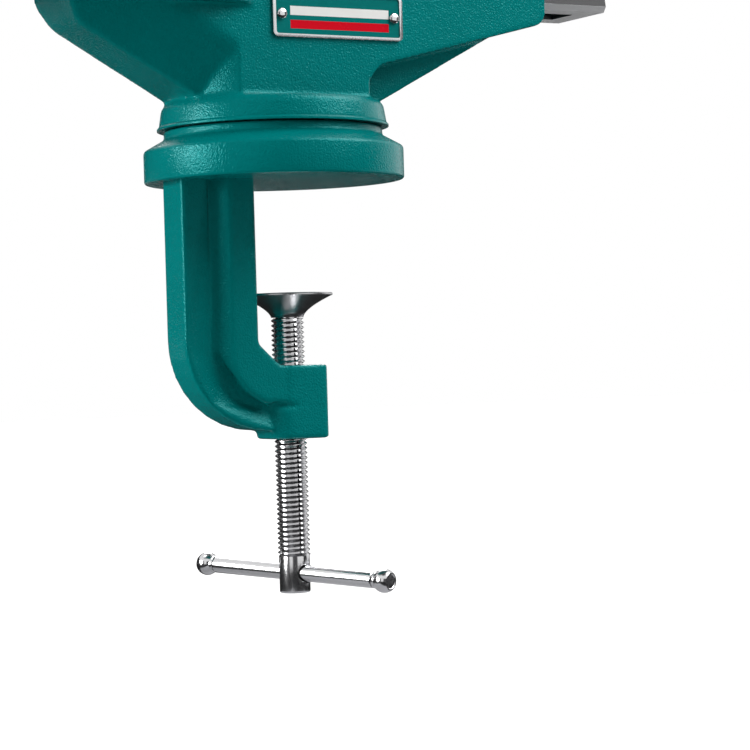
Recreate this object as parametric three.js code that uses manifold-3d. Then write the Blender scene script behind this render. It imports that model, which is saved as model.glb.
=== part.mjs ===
// Small swivel bench vise with a screw clamp that grips the edge of a bench top.
// Millimetres. +Z is up, +Y is the back of the vise, and the operator stands at -Y.
// The origin is on the swivel axis, in the flat face that rests on the bench top.
import * as THREE from "three";
import { mergeVertices } from "three/addons/utils/BufferGeometryUtils.js";
import Module from "manifold-3d";

const wasm = await Module();
wasm.setup();

// Fits and smoothness
const runningGap = 0.3; // left between pieces that slide or sit on each other
const overrun = 2; // how far a cut runs past a face, or a joined solid runs into the next one
const weldDistance = 1e-5; // corners nearer than this are one corner
const largeSides = 44;
const mediumSides = 24;
const smallSides = 16;
const screwSides = 10;
const cornerSteps = 3;

// Base casting: a round foot on the bench, a neck, and a spigot that the body turns on
const footRadius = 47;
const footEdge = 1.2;
const footHeight = 11.5;
const footShoulder = 15.7;
const neckRadius = 39.5;
const neckTop = 18.7;
const spigotRadius = 24;
const spigotHeight = 15.3;
const pivotRadius = 5;
const pivotDepth = 6; // metal left between the pivot hole and the bench

// Clamp arm of the base casting, a C seen along X
const armBack = 41.1;
const armTop = 66.3; // from the bench top down to the arm under the screw
const armDepth = 23.4;
const armBend = 33;
const flangeHalf = 11;
const flangeSpine = 10.2;
const flangeArm = 13.6;
const webHalf = 4.6;
const beadHalf = 8.2;
const beadSpine = 10.6;
const beadArm = 7.6;
const armChamfer = 8.5;
const bossDepth = 26.6;
const bossHalf = 11.6;
const bossBack = 13.7;
const bossFront = 7.1;
const bossCorner = 2;
const recessEnd = 2;

// Clamp screw, its pad and its cross bar
const clampY = 3.5;
const clampMajor = 5.95;
const clampThreadDepth = 1;
const clampPitch = 1.75;
const benchThickness = 40.4;
const padRadius = 16.7;
const padRim = 0.8;
const padDepth = 8.6;
const padRoof = 2.9; // metal between the bench and the end of the screw
const padConeShares = [0, 0.25, 0.5, 0.75, 1];
const padSagPower = 1.6;
const padNeck = 5.9;
const padSocket = 4.6;
const clampHeadRadius = 5.6;
const clampTail = 42; // thread that shows below the boss
const clampHeadLength = 13.9;
const clampHeadChamfer = 0.9;
const clampBarDrop = 6.6; // from the top of the head down to the bar
const clampBarRadius = 3;
const clampBarSlack = 0.65;
const clampBarReach = 40.6; // from the middle of the bar to the middle of an end cap
const clampBarSlide = 0.45; // how far the bar lies towards its far end at rest
const clampCapRadius = 4.25;
const clampBarTurn = THREE.MathUtils.degToRad(24.5);
const clampBarDroop = THREE.MathUtils.degToRad(3);

// Swivel body: ring, pedestal, slide housing, fixed jaw and anvil
const ringRadius = 41.2;
const ringTopRadius = 40;
const ringHeight = 9.1;
const ringRound = 2;
const lipWidth = 0.7;
const lipHeight = 1.3;
const bodyHalf = 27.4;
const pedestalHalf = 26;
const pedestalRise = 16.1;
const pedestalRadius = 38; // of its rounded front
const cheekRise = 15.5;
const chinFront = 70;
const chinRise = 26.8;
const bodyFront = 88;
const bodyBack = 101.4;
const tailRoot = 30.2;
const tailRootRise = 12.1;
const tailRise = 17.8;
const housingRoof = 8.7;
const castRound = 5;
const strutHalf = 13.7;
const strutRoot = 31.5;
const strutTip = 80.9;
const strutTipRise = 25.2;
const noseFront = 86.4;
const noseRise = 35.4;
const gussetRoot = 32.6;
const gussetTip = 84;
const gussetTipRise = 25.1;
const cheekBack = 19.4;
const flareLength = 14;
const jawRise = 34;
const jawThickness = 26;
const jawSlopeHeight = 19;
const anvilFront = 58;
const anvilRise = 12;
const anvilHalf = 25;
const anvilNeck = 20;
const anvilChamfer = 2.5;

// Jaws
const jawHalf = 35;
const plateHeight = 26;
const plateThickness = 6;
const plateRecess = 3;
const plateBevel = 1;
const serrationPitch = 2.6;
const serrationDepth = 0.5;
const jawScrewInset = 13;
const jawScrewRadius = 2.5;
const jawScrewHead = 5;
const jawScrewLength = 14;
const slotWidth = 1.2;
const slotDepth = 1.3;
const jawsOpen = 20; // gap between the jaw plates at rest

// Slide of the moving jaw
const slideHalf = 17.6;
const slideHeight = 30;
const slideChamfer = 2;
const slideBack = 135.9;
const slideEndWall = 8.5;
const slideEndRake = 4.5; // how far the end face leans forward at the top
const channelHalf = 7;
const channelRoof = 6;

// Moving jaw head and the front boss of the lead screw
const headLength = 32;
const headRise = 4;
const headBrow = 12;
const apronHalf = 24;
const apronDrop = 4;
const apronCorner = 6;
const collarBossRadius = 16;
const collarBossLength = 5;
const frontWall = 16;
const pocketSlack = 1.5;
const pocketHeadroom = 3.5;
const pocketLength = 20;

// Lead screw and what is on it
const leadRise = 13.5; // from the underside of the slide up to the screw's axis
const leadMajor = 6;
const leadThreadDepth = 1.3;
const leadPitch = 3;
const leadReach = 26; // how far the tip reaches behind the swivel axis
const leadHeadRadius = 11;
const leadHeadLength = 24;
const leadHeadChamfer = 1.5;
const thrustWasherRadius = 10.5;
const washerThickness = 1.6;
const leadBarRadius = 4;
const leadBarSlack = 0.5;
const leadBarReach = 55;
const leadCapRadius = 6;
const springWire = 0.8;
const springSlack = 0.8;
const springLength = 9;
const springTurns = 4;
const springWasherLip = 0.6;
const pinRadius = 1.2;
const pinInset = 0.5;

// Nut that the lead screw runs in; its round foot drops into the body
const nutY = 35;
const nutHalfLength = 13;
const nutHalf = 6.6;
const nutCrown = 9.5;
const nutFootRadius = 6;
const nutFootDepth = 12;

// Pivot bolt
const pivotWeb = 10.1;
const pivotPocketDepth = 20.6;
const pivotPocketSlack = 2.5;
const pivotWasherRadius = 10.5;
const pivotWasherThickness = 2;
const pivotHeadAcross = 8.5;
const pivotHeadHeight = 6.4;
const pivotTip = 8;

// Lock screw that holds the swivel, on the side away from the name plate
const lockMajor = 4;
const lockThreadDepth = 0.7;
const lockPitch = 1.25;
const lockBossRadius = 8.3;
const lockBossLift = 0.2;
const lockBossReach = 0.5; // from the rim of the foot out to the end of the boss
const lockShoeLength = 4;
const lockStandOff = 4;
const lockHeadLength = 11;
const lockHeadRadius = 5;
const lockHeadChamfer = 0.9;
const lockBarRadius = 2.4;
const lockBarSlack = 0.4;
const lockBarReach = 23;
const lockCapRadius = 3.5;
const lockBarLean = THREE.MathUtils.degToRad(30); // from upright towards the back

// Name plate and its rivets
const labelFront = 13.3;
const labelBack = 39;
const labelRise = 4.5;
const labelHeight = 16.3;
const labelThickness = 0.8;
const labelSunk = 0.4;
const labelCorner = 2;
const labelRim = 1.2;
const rivetInset = 3.5;
const rivetRadius = 1.9;
const rivetShank = 1;
const rivetDome = 1;
const rivetDepth = 4;

const paint = { color: 0x007a70, roughness: 0.45, metalness: 0 };
const chrome = { color: 0xb9bbbd, roughness: 0.18, metalness: 1 };
const ground = { color: 0x9b9da0, roughness: 0.35, metalness: 1 };
const hardened = { color: 0x6f7275, roughness: 0.4, metalness: 1 };
const blackened = { color: 0x2b2c2e, roughness: 0.5, metalness: 0.8 };
const bronze = { color: 0xa9834a, roughness: 0.4, metalness: 0.9 };

const xAxis = new THREE.Vector3(1, 0, 0);
const yAxis = new THREE.Vector3(0, 1, 0);
const zAxis = new THREE.Vector3(0, 0, 1);

// Closed mesh to solid: vertices merged, slivers dropped, faces turned outwards.
function solidOf(geometry) {
  const bare = geometry.clone();
  bare.deleteAttribute("normal");
  bare.deleteAttribute("uv");
  const merged = mergeVertices(bare, weldDistance);
  const position = merged.attributes.position;
  const corner = (i) => new THREE.Vector3().fromBufferAttribute(position, i);
  const triangles = [];
  let volume = 0;
  for (let i = 0; i < merged.index.count; i += 3) {
    const [a, b, c] = [0, 1, 2].map((k) => merged.index.getX(i + k));
    if (a === b || b === c || c === a) continue;
    triangles.push([a, b, c]);
    volume += corner(a).dot(corner(b).cross(corner(c)));
  }
  const turned = volume < 0 ? triangles.map(([a, b, c]) => [a, c, b]) : triangles;
  const mesh = new wasm.Mesh({
    numProp: 3,
    vertProperties: new Float32Array(position.array),
    triVerts: new Uint32Array(turned.flat()),
  });
  return new wasm.Manifold(mesh);
}

function joined(...solids) {
  return solids.reduce((sum, solid) => sum.add(solid));
}

function cut(solid, ...tools) {
  return tools.reduce((left, tool) => left.subtract(tool), solid);
}

function geometryOf(solid) {
  const mesh = solid.getMesh();
  const geometry = new THREE.BufferGeometry();
  geometry.setAttribute("position", new THREE.BufferAttribute(mesh.vertProperties, 3));
  geometry.setIndex(new THREE.BufferAttribute(mesh.triVerts, 1));
  geometry.computeVertexNormals();
  return geometry;
}

// Corners are [a, b] or [a, b, radius]; a radius rounds that corner.
function outline(corners, steps = cornerSteps) {
  const count = corners.length;
  return corners.flatMap(([a, b, radius = 0], i) => {
    const here = new THREE.Vector2(a, b);
    if (radius === 0) return [here];
    const toBefore = new THREE.Vector2(...corners[(i + count - 1) % count]).sub(here).normalize();
    const toAfter = new THREE.Vector2(...corners[(i + 1) % count]).sub(here).normalize();
    const half = Math.acos(toBefore.dot(toAfter)) / 2;
    const middle = toBefore.clone().add(toAfter).normalize();
    const centre = here.clone().addScaledVector(middle, radius / Math.sin(half));
    const from = here.clone().addScaledVector(toBefore, radius / Math.tan(half)).sub(centre);
    const sweep = Math.sign(toAfter.cross(toBefore)) * (Math.PI - 2 * half);
    const arc = [];
    for (let k = 0; k <= steps; k += 1) {
      arc.push(from.clone().rotateAround(new THREE.Vector2(), (sweep * k) / steps).add(centre));
    }
    return arc;
  });
}

function prism(points, depth, basis, place) {
  const geometry = new THREE.ExtrudeGeometry(new THREE.Shape(points), { depth, bevelEnabled: false });
  geometry.applyMatrix4(new THREE.Matrix4().makeBasis(...basis).setPosition(place));
  return solidOf(geometry);
}

// An outline in (y, z) drawn out along X.
function alongX(points, from, to) {
  return prism(points, to - from, [yAxis, zAxis, xAxis], xAxis.clone().multiplyScalar(from));
}

// An outline in (x, z) drawn out along Y.
function alongY(points, from, to) {
  const basis = [xAxis, zAxis, yAxis.clone().negate()];
  return prism(points, to - from, basis, yAxis.clone().multiplyScalar(to));
}

// An outline in (x, y) drawn out along Z.
function alongZ(points, from, to) {
  return prism(points, to - from, [xAxis, yAxis, zAxis], zAxis.clone().multiplyScalar(from));
}

function rectangle(a0, b0, a1, b1, radius = 0) {
  return outline([[a0, b0, radius], [a1, b0, radius], [a1, b1, radius], [a0, b1, radius]]);
}

// A profile of [radius, height] pairs spun about an axis through a point, heights along the axis.
function turned(profile, sides, centre = new THREE.Vector3(), axis = zAxis) {
  const points = profile.map(([radius, height]) => new THREE.Vector2(radius, height));
  const geometry = new THREE.LatheGeometry(points, sides);
  geometry.applyQuaternion(new THREE.Quaternion().setFromUnitVectors(yAxis, axis));
  geometry.translate(centre.x, centre.y, centre.z);
  return solidOf(geometry);
}

function rod(radius, from, to, sides, centre, axis, chamfer = 0) {
  const profile = [[0, from], [radius - chamfer, from]];
  if (chamfer > 0) profile.push([radius, from + chamfer], [radius, to - chamfer]);
  profile.push([radius - chamfer, to], [0, to]);
  return turned(profile, sides, centre, axis);
}

// A round hole whose flats clear the given radius.
function hole(radius, from, to, sides, centre, axis) {
  return rod(radius / Math.cos(Math.PI / sides), from, to, sides, centre, axis);
}

// Threaded rod: one crest line and one root line wind up together, then the ends are trimmed square.
function threaded(major, depth, pitch, from, to, centre, axis) {
  const turns = Math.ceil((to - from) / pitch) + 3;
  const start = from - 1.5 * pitch;
  const rows = 2 * turns;
  const vertices = [0, start, 0];
  for (let row = 0; row <= rows; row += 1) {
    const radius = row % 2 ? major - depth : major;
    for (let side = 0; side < screwSides; side += 1) {
      const share = side / screwSides;
      const angle = 2 * Math.PI * share;
      const height = start + pitch * (row / 2 + share);
      vertices.push(radius * Math.sin(angle), height, radius * Math.cos(angle));
    }
  }
  vertices.push(0, start + pitch * (turns + 1), 0);
  const last = vertices.length / 3 - 1;
  const index = [];
  // Past the last side the helix goes on a whole pitch higher, which is two rows up.
  const at = (row, side) => 1 + (row + 2 * Math.floor(side / screwSides)) * screwSides + (side % screwSides);
  const seam = screwSides - 1;
  for (let row = 0; row < rows; row += 1) {
    for (let side = 0; side < screwSides; side += 1) {
      if (side === seam && row + 3 > rows) continue;
      index.push(at(row, side), at(row, side + 1), at(row + 1, side + 1));
      index.push(at(row, side), at(row + 1, side + 1), at(row + 1, side));
    }
  }
  const sides = [...Array(screwSides).keys()];
  const lower = [...sides.map((side) => at(0, side)), at(2, 0), at(1, 0)];
  const upper = [...sides.map((side) => at(rows, side)).reverse(), at(rows - 2, seam), at(rows - 1, seam)];
  lower.forEach((a, i) => index.push(0, lower[(i + 1) % lower.length], a));
  upper.forEach((a, i) => index.push(last, upper[(i + 1) % upper.length], a));
  const geometry = new THREE.BufferGeometry();
  geometry.setAttribute("position", new THREE.BufferAttribute(new Float32Array(vertices), 3));
  geometry.setIndex(index);
  geometry.applyQuaternion(new THREE.Quaternion().setFromUnitVectors(yAxis, axis));
  geometry.translate(centre.x, centre.y, centre.z);
  return solidOf(geometry).intersect(rod(2 * major, from, to, screwSides, centre, axis));
}

const group = new THREE.Group();

function add(name, solid, finish) {
  const mesh = new THREE.Mesh(geometryOf(solid), new THREE.MeshStandardMaterial(finish));
  mesh.name = name;
  group.add(mesh);
}

// Places worked out from the sizes above
const armInner = padRadius + runningGap - clampY;
const armBottom = armTop + armDepth;
const bossBottom = armTop + bossDepth;
const clampHeadTop = bossBottom + clampTail;
const spigotTop = neckTop + spigotHeight;
const ringBottom = neckTop + runningGap;
const ringTop = ringBottom + ringHeight;
const cavityTop = spigotTop + runningGap;
const pivotWebTop = cavityTop + pivotWeb;
const pivotCavity = pivotWasherRadius + pivotPocketSlack;
const slideBottom = pivotWebTop + pivotPocketDepth;
const slideTop = slideBottom + slideHeight;
const channelTop = slideTop - channelRoof;
const leadHeight = slideBottom + leadRise;
const nutTop = leadHeight + nutCrown;
const housingTop = slideTop + runningGap + housingRoof;
const jawTop = housingTop + jawRise;
const anvilTop = housingTop + anvilRise;
const pedestalTop = ringTop + pedestalRise;
const cheekBottom = pedestalTop + cheekRise;
const chinTop = pedestalTop + chinRise;
const tailRootHeight = ringTop + tailRootRise;
const tailBottom = tailRootHeight + tailRise;
const labelBottom = pedestalTop + labelRise;
const labelTop = labelBottom + labelHeight;
const lockHeight = ringBottom + lockBossRadius + lockBossLift;
const lockBossEnd = footRadius + lockBossReach;
const lockHeadStart = lockBossEnd + lockStandOff;
const springRadius = leadMajor + springWire + springSlack;
const springWasherRadius = springRadius + springWire + springWasherLip;
const pocketHalf = springWasherRadius + pocketSlack;
const jawScrewPlaces = [jawScrewInset - jawHalf, jawHalf - jawScrewInset];
const fixedSeat = plateRecess - bodyFront;
const fixedFace = fixedSeat - runningGap - plateThickness;
const movingFace = fixedFace - jawsOpen;
const movingSeat = movingFace - plateThickness - runningGap;
const headBack = movingSeat + plateRecess;
const headFront = headBack - headLength;
const seatBottom = jawTop - plateHeight - runningGap;
const plateMiddle = jawTop - plateHeight / 2;
const clampCentre = new THREE.Vector3(0, clampY, 0);
const leadCentre = new THREE.Vector3(0, 0, leadHeight);
const lockCentre = new THREE.Vector3(0, 0, lockHeight);
const mirrored = (half) => half.concat(half.map(([a, ...rest]) => [-a, ...rest]).reverse());

function clampFrame() {
  const foot = turned([
    [0, 0], [footRadius - footEdge, 0], [footRadius, footEdge], [footRadius, footHeight],
    [neckRadius, footShoulder], [neckRadius, neckTop], [spigotRadius, neckTop],
    [spigotRadius, spigotTop - footEdge], [spigotRadius - footEdge, spigotTop], [0, spigotTop],
  ], largeSides);
  const top = footHeight / 2;
  const inner = [
    [clampY, -armTop], [armChamfer - armInner, -armTop, armChamfer / 2],
    [-armInner, armChamfer - armTop, armChamfer / 2], [-armInner, top],
  ];
  const flangeCorner = [-armInner - flangeSpine, -armTop - flangeArm, armBend / 2];
  const flange = alongX(outline([
    ...inner, [flangeCorner[0], top], flangeCorner, [clampY, flangeCorner[1]],
  ]), -flangeHalf, flangeHalf);
  const outer = [[-armBack, top], [-armBack, -armBottom, armBend], [clampY, -armBottom]];
  const web = alongX(outline([...inner, ...outer], 2 * cornerSteps), -webHalf, webHalf);
  const beadCorner = [beadSpine - armBack, beadArm - armBottom, armBend - beadSpine];
  const bead = alongX(outline([
    ...outer, [clampY, beadCorner[1]], beadCorner, [beadCorner[0], top],
  ], 2 * cornerSteps), -beadHalf, beadHalf);
  const bossOutline = rectangle(-bossHalf, -bossFront, bossHalf, bossBack, bossCorner);
  const boss = alongZ(bossOutline, -bossBottom, -armTop);
  const recess = rectangle(-bossFront - overrun, beadCorner[1], recessEnd, flangeCorner[1], runningGap);
  const recesses = [-1, 1].map((side) => {
    const ends = [side * beadHalf, side * (bossHalf + overrun)].sort((a, b) => a - b);
    return alongX(recess, ...ends);
  });
  const screwHole = hole(
    clampMajor + runningGap, -bossBottom - overrun, overrun - armTop, smallSides, clampCentre,
  );
  const pivotHole = hole(pivotRadius + runningGap, pivotDepth, spigotTop + overrun, smallSides);
  return cut(joined(foot, web, flange, bead, boss), ...recesses, screwHole, pivotHole);
}

// A ball-shaped cap pressed on the turned-down end of a bar, at one end or the other.
function barCap(barRadius, capRadius, reach, centre, axis) {
  const tenon = barRadius / 2 + runningGap;
  const flat = Math.asin(capRadius / (capRadius + barRadius / 2));
  const steps = cornerSteps + 1;
  const skirt = reach - capRadius;
  const profile = [[0, reach + capRadius * Math.cos(flat)]];
  for (let step = 0; step <= steps; step += 1) {
    const angle = flat + ((Math.PI - Math.asin(barRadius / capRadius) - flat) * step) / steps;
    profile.push([capRadius * Math.sin(angle), reach + capRadius * Math.cos(angle)]);
  }
  profile.push([barRadius, skirt], [tenon, skirt], [tenon, reach], [0, reach]);
  return turned(profile, smallSides, centre, axis);
}

// A plain bar whose two ends are turned down for the caps.
function crossBar(barRadius, capRadius, reach, centre, axis) {
  const shoulder = reach - capRadius - runningGap;
  const tip = reach - runningGap;
  return turned([
    [0, -tip], [barRadius / 2, -tip], [barRadius / 2, -shoulder], [barRadius, -shoulder],
    [barRadius, shoulder], [barRadius / 2, shoulder], [barRadius / 2, tip], [0, tip],
  ], smallSides, centre, axis);
}

function addBar(name, capNames, barRadius, capRadius, reach, centre, axis) {
  add(name, crossBar(barRadius, capRadius, reach, centre, axis), chrome);
  add(capNames[0], barCap(barRadius, capRadius, reach, centre, axis), chrome);
  add(capNames[1], barCap(barRadius, capRadius, reach, centre, axis.clone().negate()), chrome);
}

const lockBarCentre = new THREE.Vector3(-lockHeadStart - lockHeadLength / 2, 0, lockHeight);
const lockBarAxis = new THREE.Vector3(0, Math.sin(lockBarLean), Math.cos(lockBarLean));

const padFace = -benchThickness;
const padSocketTop = padFace - padRoof;
const clampTip = padSocketTop - runningGap;
const clampBarCentre = new THREE.Vector3(0, clampY, -clampHeadTop - clampBarDrop);
const clampBarAxis = new THREE.Vector3(
  Math.cos(clampBarTurn) * Math.cos(clampBarDroop),
  Math.sin(clampBarTurn) * Math.cos(clampBarDroop),
  -Math.sin(clampBarDroop),
);

function clampPad() {
  // The underside is hollowed a little between rim and neck, so the cone's sides curve in.
  const cone = padConeShares.map((share) => [
    padNeck + (padRadius - padNeck) * (1 - share) ** padSagPower,
    padFace - padRim - (padDepth - padRim) * share,
  ]);
  const neckEnd = padFace - padDepth;
  return turned([
    [0, padFace], [padRadius, padFace], ...cone,
    [padSocket, neckEnd], [padSocket, padSocketTop], [0, padSocketTop],
  ], mediumSides, clampCentre);
}

function clampScrew() {
  const neck = rod(padSocket - runningGap, padFace - padDepth - overrun, clampTip, smallSides, clampCentre);
  const threadTop = padFace - padDepth - runningGap;
  const thread = threaded(
    clampMajor, clampThreadDepth, clampPitch, -clampHeadTop, threadTop, clampCentre, zAxis,
  );
  const headBottom = -clampHeadTop - clampHeadLength;
  const head = rod(
    clampHeadRadius, headBottom, -clampHeadTop, mediumSides, clampCentre, zAxis, clampHeadChamfer,
  );
  const span = clampHeadRadius + overrun;
  const eye = hole(clampBarRadius + clampBarSlack, -span, span, smallSides, clampBarCentre, clampBarAxis);
  return cut(joined(neck, thread, head), eye);
}

function swivelBody() {
  const ring = turned([
    [0, ringBottom], [ringRadius + lipWidth, ringBottom], [ringRadius + lipWidth, ringBottom + lipHeight / 2],
    [ringRadius, ringBottom + lipHeight], [ringTopRadius, ringTop - ringRound],
    [ringTopRadius - ringRound, ringTop], [0, ringTop],
  ], largeSides);
  const pedestalPlan = rectangle(-bodyHalf, -pedestalRadius, bodyHalf, pedestalHalf);
  const pedestalTurn = turned([
    [0, ringBottom], [pedestalRadius, ringBottom], [pedestalRadius, pedestalTop + castRound],
    [0, pedestalTop + castRound],
  ], largeSides);
  const pedestal = alongZ(pedestalPlan, ringBottom, pedestalTop + castRound).intersect(pedestalTurn);
  const side = outline([
    [-pedestalHalf, pedestalTop, castRound], [-chinFront, chinTop, castRound],
    [-bodyFront, chinTop], [-bodyFront, housingTop],
    [bodyBack, housingTop, castRound], [bodyBack, tailBottom, castRound],
    [tailRoot, tailRootHeight, castRound / 2],
    [pedestalHalf, tailRootHeight - castRound],
  ].reverse());
  const housing = alongX(side, -bodyHalf, bodyHalf);

  // The nose narrows downwards to a strut. Its flanks are planes along the front edges of the sides.
  const noseProfile = alongX(outline([
    [0, ringTop - overrun], [-strutRoot, ringTop - overrun], [-strutTip, ringTop + strutTipRise, castRound],
    [-noseFront, ringTop + noseRise, castRound], [-bodyFront, chinTop + castRound], [0, chinTop + castRound],
  ].reverse()), -bodyHalf, bodyHalf);
  const noseSlope = (chinTop - pedestalTop) / (chinFront - pedestalHalf);
  const strutLevel = ringTop - overrun - noseSlope * (strutRoot - pedestalHalf);
  const flank = (level) => THREE.MathUtils.mapLinear(level, strutLevel, pedestalTop, strutHalf, bodyHalf);
  const noseSection = outline(mirrored([
    [flank(strutLevel - castRound), strutLevel - castRound], [bodyHalf, pedestalTop],
    [bodyHalf, chinTop + castRound],
  ]));
  const forwards = new THREE.Vector3(0, -1, noseSlope);
  const nosePlace = zAxis.clone().multiplyScalar(-noseSlope * pedestalHalf);
  const nose = prism(noseSection, bodyFront, [xAxis, zAxis, forwards], nosePlace).intersect(noseProfile);
  const gusset = alongX(outline([
    [0, ringTop - overrun], [gussetRoot, ringTop - overrun], [gussetTip, ringTop + gussetTipRise],
    [gussetTip, tailBottom + overrun], [0, tailBottom + overrun],
  ]), -strutHalf, strutHalf);

  const jawBack = jawThickness - bodyFront;
  const cheekFront = THREE.MathUtils.mapLinear(cheekBottom, pedestalTop, chinTop, pedestalHalf, chinFront);
  const jawSide = outline([
    [-cheekBack, cheekBottom, castRound / 2], [-cheekBack, housingTop + overrun],
    [jawBack + flareLength, jawTop - plateHeight, flareLength],
    [jawBack, jawTop - jawSlopeHeight, flareLength / 2], [jawBack, jawTop, castRound / 2],
    [fixedSeat, jawTop], [fixedSeat, seatBottom], [-bodyFront, seatBottom], [-bodyFront, chinTop],
    [-chinFront, chinTop, castRound], [-cheekFront, cheekBottom, castRound],
  ].reverse());
  const jawPlan = outline(mirrored([
    [jawHalf, -bodyFront], [jawHalf, -cheekBack - flareLength, castRound], [bodyHalf, -cheekBack],
  ]));
  const jaw = alongX(jawSide, -jawHalf, jawHalf).intersect(alongZ(jawPlan, cheekBottom, jawTop));

  const anvilSection = outline(mirrored([
    [anvilNeck, housingTop - overrun], [anvilHalf, housingTop + anvilChamfer],
    [anvilHalf, anvilTop - anvilChamfer], [anvilHalf - anvilChamfer, anvilTop],
  ]));
  const anvil = alongY(anvilSection, anvilFront, bodyBack);
  const lockBoss = rod(lockBossRadius, -lockBossEnd, -bodyHalf, mediumSides, lockCentre, xAxis);

  const slideway = alongY(outline(mirrored([
    [slideHalf + runningGap - slideChamfer, slideBottom - runningGap],
    [slideHalf + runningGap, slideBottom - runningGap + slideChamfer],
    [slideHalf + runningGap, slideTop + runningGap],
  ])), -bodyFront - overrun, bodyBack + overrun);
  const cavity = hole(spigotRadius + runningGap, ringBottom - overrun, cavityTop, largeSides);
  const boltHole = hole(pivotRadius + runningGap, cavityTop - overrun, pivotWebTop + overrun, smallSides);
  const boltPocket = hole(pivotCavity, pivotWebTop, slideBottom, mediumSides);
  const nutCentre = new THREE.Vector3(0, -nutY, 0);
  const nutHole = hole(
    nutFootRadius + runningGap, slideBottom - nutFootDepth - runningGap, slideBottom, smallSides, nutCentre,
  );
  const lockHole = hole(
    lockMajor + runningGap, -lockBossEnd - overrun, overrun - spigotRadius, smallSides, lockCentre, xAxis,
  );
  const plateScrews = jawScrewPlaces.map((x) => jawScrewHole(x, fixedSeat, 1));
  const rivets = rivetPlaces.map((y) => rivetHole(y, bodyHalf - rivetDepth - runningGap, bodyHalf + overrun));
  const casting = joined(ring, pedestal, housing, nose, gusset, jaw, anvil, lockBoss);
  return cut(casting, slideway, cavity, boltHole, boltPocket, nutHole, lockHole, ...plateScrews, ...rivets);
}

const rivetPlaces = [rivetInset - labelFront, labelBack - rivetInset];
const rivetHeight = (labelBottom + labelTop) / 2;

function rivetHole(y, from, to) {
  return hole(rivetShank + runningGap, from, to, smallSides, new THREE.Vector3(0, y, rivetHeight), xAxis);
}

// Jaw plates are held by countersunk screws that point into the jaw: towards +Y on the fixed one.
function jawScrewHole(x, seat, towards) {
  const centre = new THREE.Vector3(x, 0, plateMiddle);
  const ends = [seat - towards * overrun, seat + towards * jawScrewLength].sort((a, b) => a - b);
  return hole(jawScrewRadius + runningGap, ...ends, smallSides, centre, yAxis);
}

function jawPlate(face, towards) {
  const back = face + towards * plateThickness;
  const at = (depth) => face + towards * depth;
  const front = [];
  const grooves = Math.floor((plateHeight / 2 - plateBevel) / serrationPitch - 0.5);
  for (let groove = -grooves; groove < grooves; groove += 1) {
    const middle = plateMiddle + serrationPitch * (groove + 0.5);
    front.push([at(0), middle - serrationDepth], [at(serrationDepth), middle]);
    front.push([at(0), middle + serrationDepth]);
  }
  const bottom = plateMiddle - plateHeight / 2;
  const side = outline([
    [back, bottom], [at(plateBevel), bottom], [at(0), bottom + plateBevel], ...front,
    [at(0), jawTop - plateBevel], [at(plateBevel), jawTop], [back, jawTop],
  ]);
  const plate = alongX(towards > 0 ? side : side.reverse(), -jawHalf, jawHalf);
  const sinks = jawScrewPlaces.map((x) => {
    const centre = new THREE.Vector3(x, at(0), plateMiddle);
    const axis = yAxis.clone().multiplyScalar(towards);
    const rim = (jawScrewHead + runningGap) / Math.cos(Math.PI / smallSides);
    const shank = (jawScrewRadius + runningGap) / Math.cos(Math.PI / smallSides);
    return turned([
      [0, -overrun], [rim, -overrun], [rim, plateBevel], [shank, plateBevel + rim - shank],
      [shank, plateThickness + overrun], [0, plateThickness + overrun],
    ], smallSides, centre, axis);
  });
  return cut(plate, ...sinks);
}

function jawScrew(x, face, towards) {
  const centre = new THREE.Vector3(x, face, plateMiddle);
  const axis = yAxis.clone().multiplyScalar(towards);
  const top = plateBevel + runningGap / 2;
  const coneEnd = top + jawScrewHead - jawScrewRadius;
  const screw = turned([
    [0, top - runningGap], [jawScrewHead, top - runningGap], [jawScrewHead, top],
    [jawScrewRadius, coneEnd], [jawScrewRadius, jawScrewLength], [0, jawScrewLength],
  ], smallSides, centre, axis);
  const middle = face + towards * (top - runningGap);
  const ends = [middle - towards * overrun, middle + towards * slotDepth].sort((a, b) => a - b);
  const slotHalf = [jawScrewHead + overrun, slotWidth / 2];
  const slot = rectangle(
    x - slotHalf[0], plateMiddle - slotHalf[1], x + slotHalf[0], plateMiddle + slotHalf[1],
  );
  return cut(screw, alongY(slot, ...ends));
}

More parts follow.
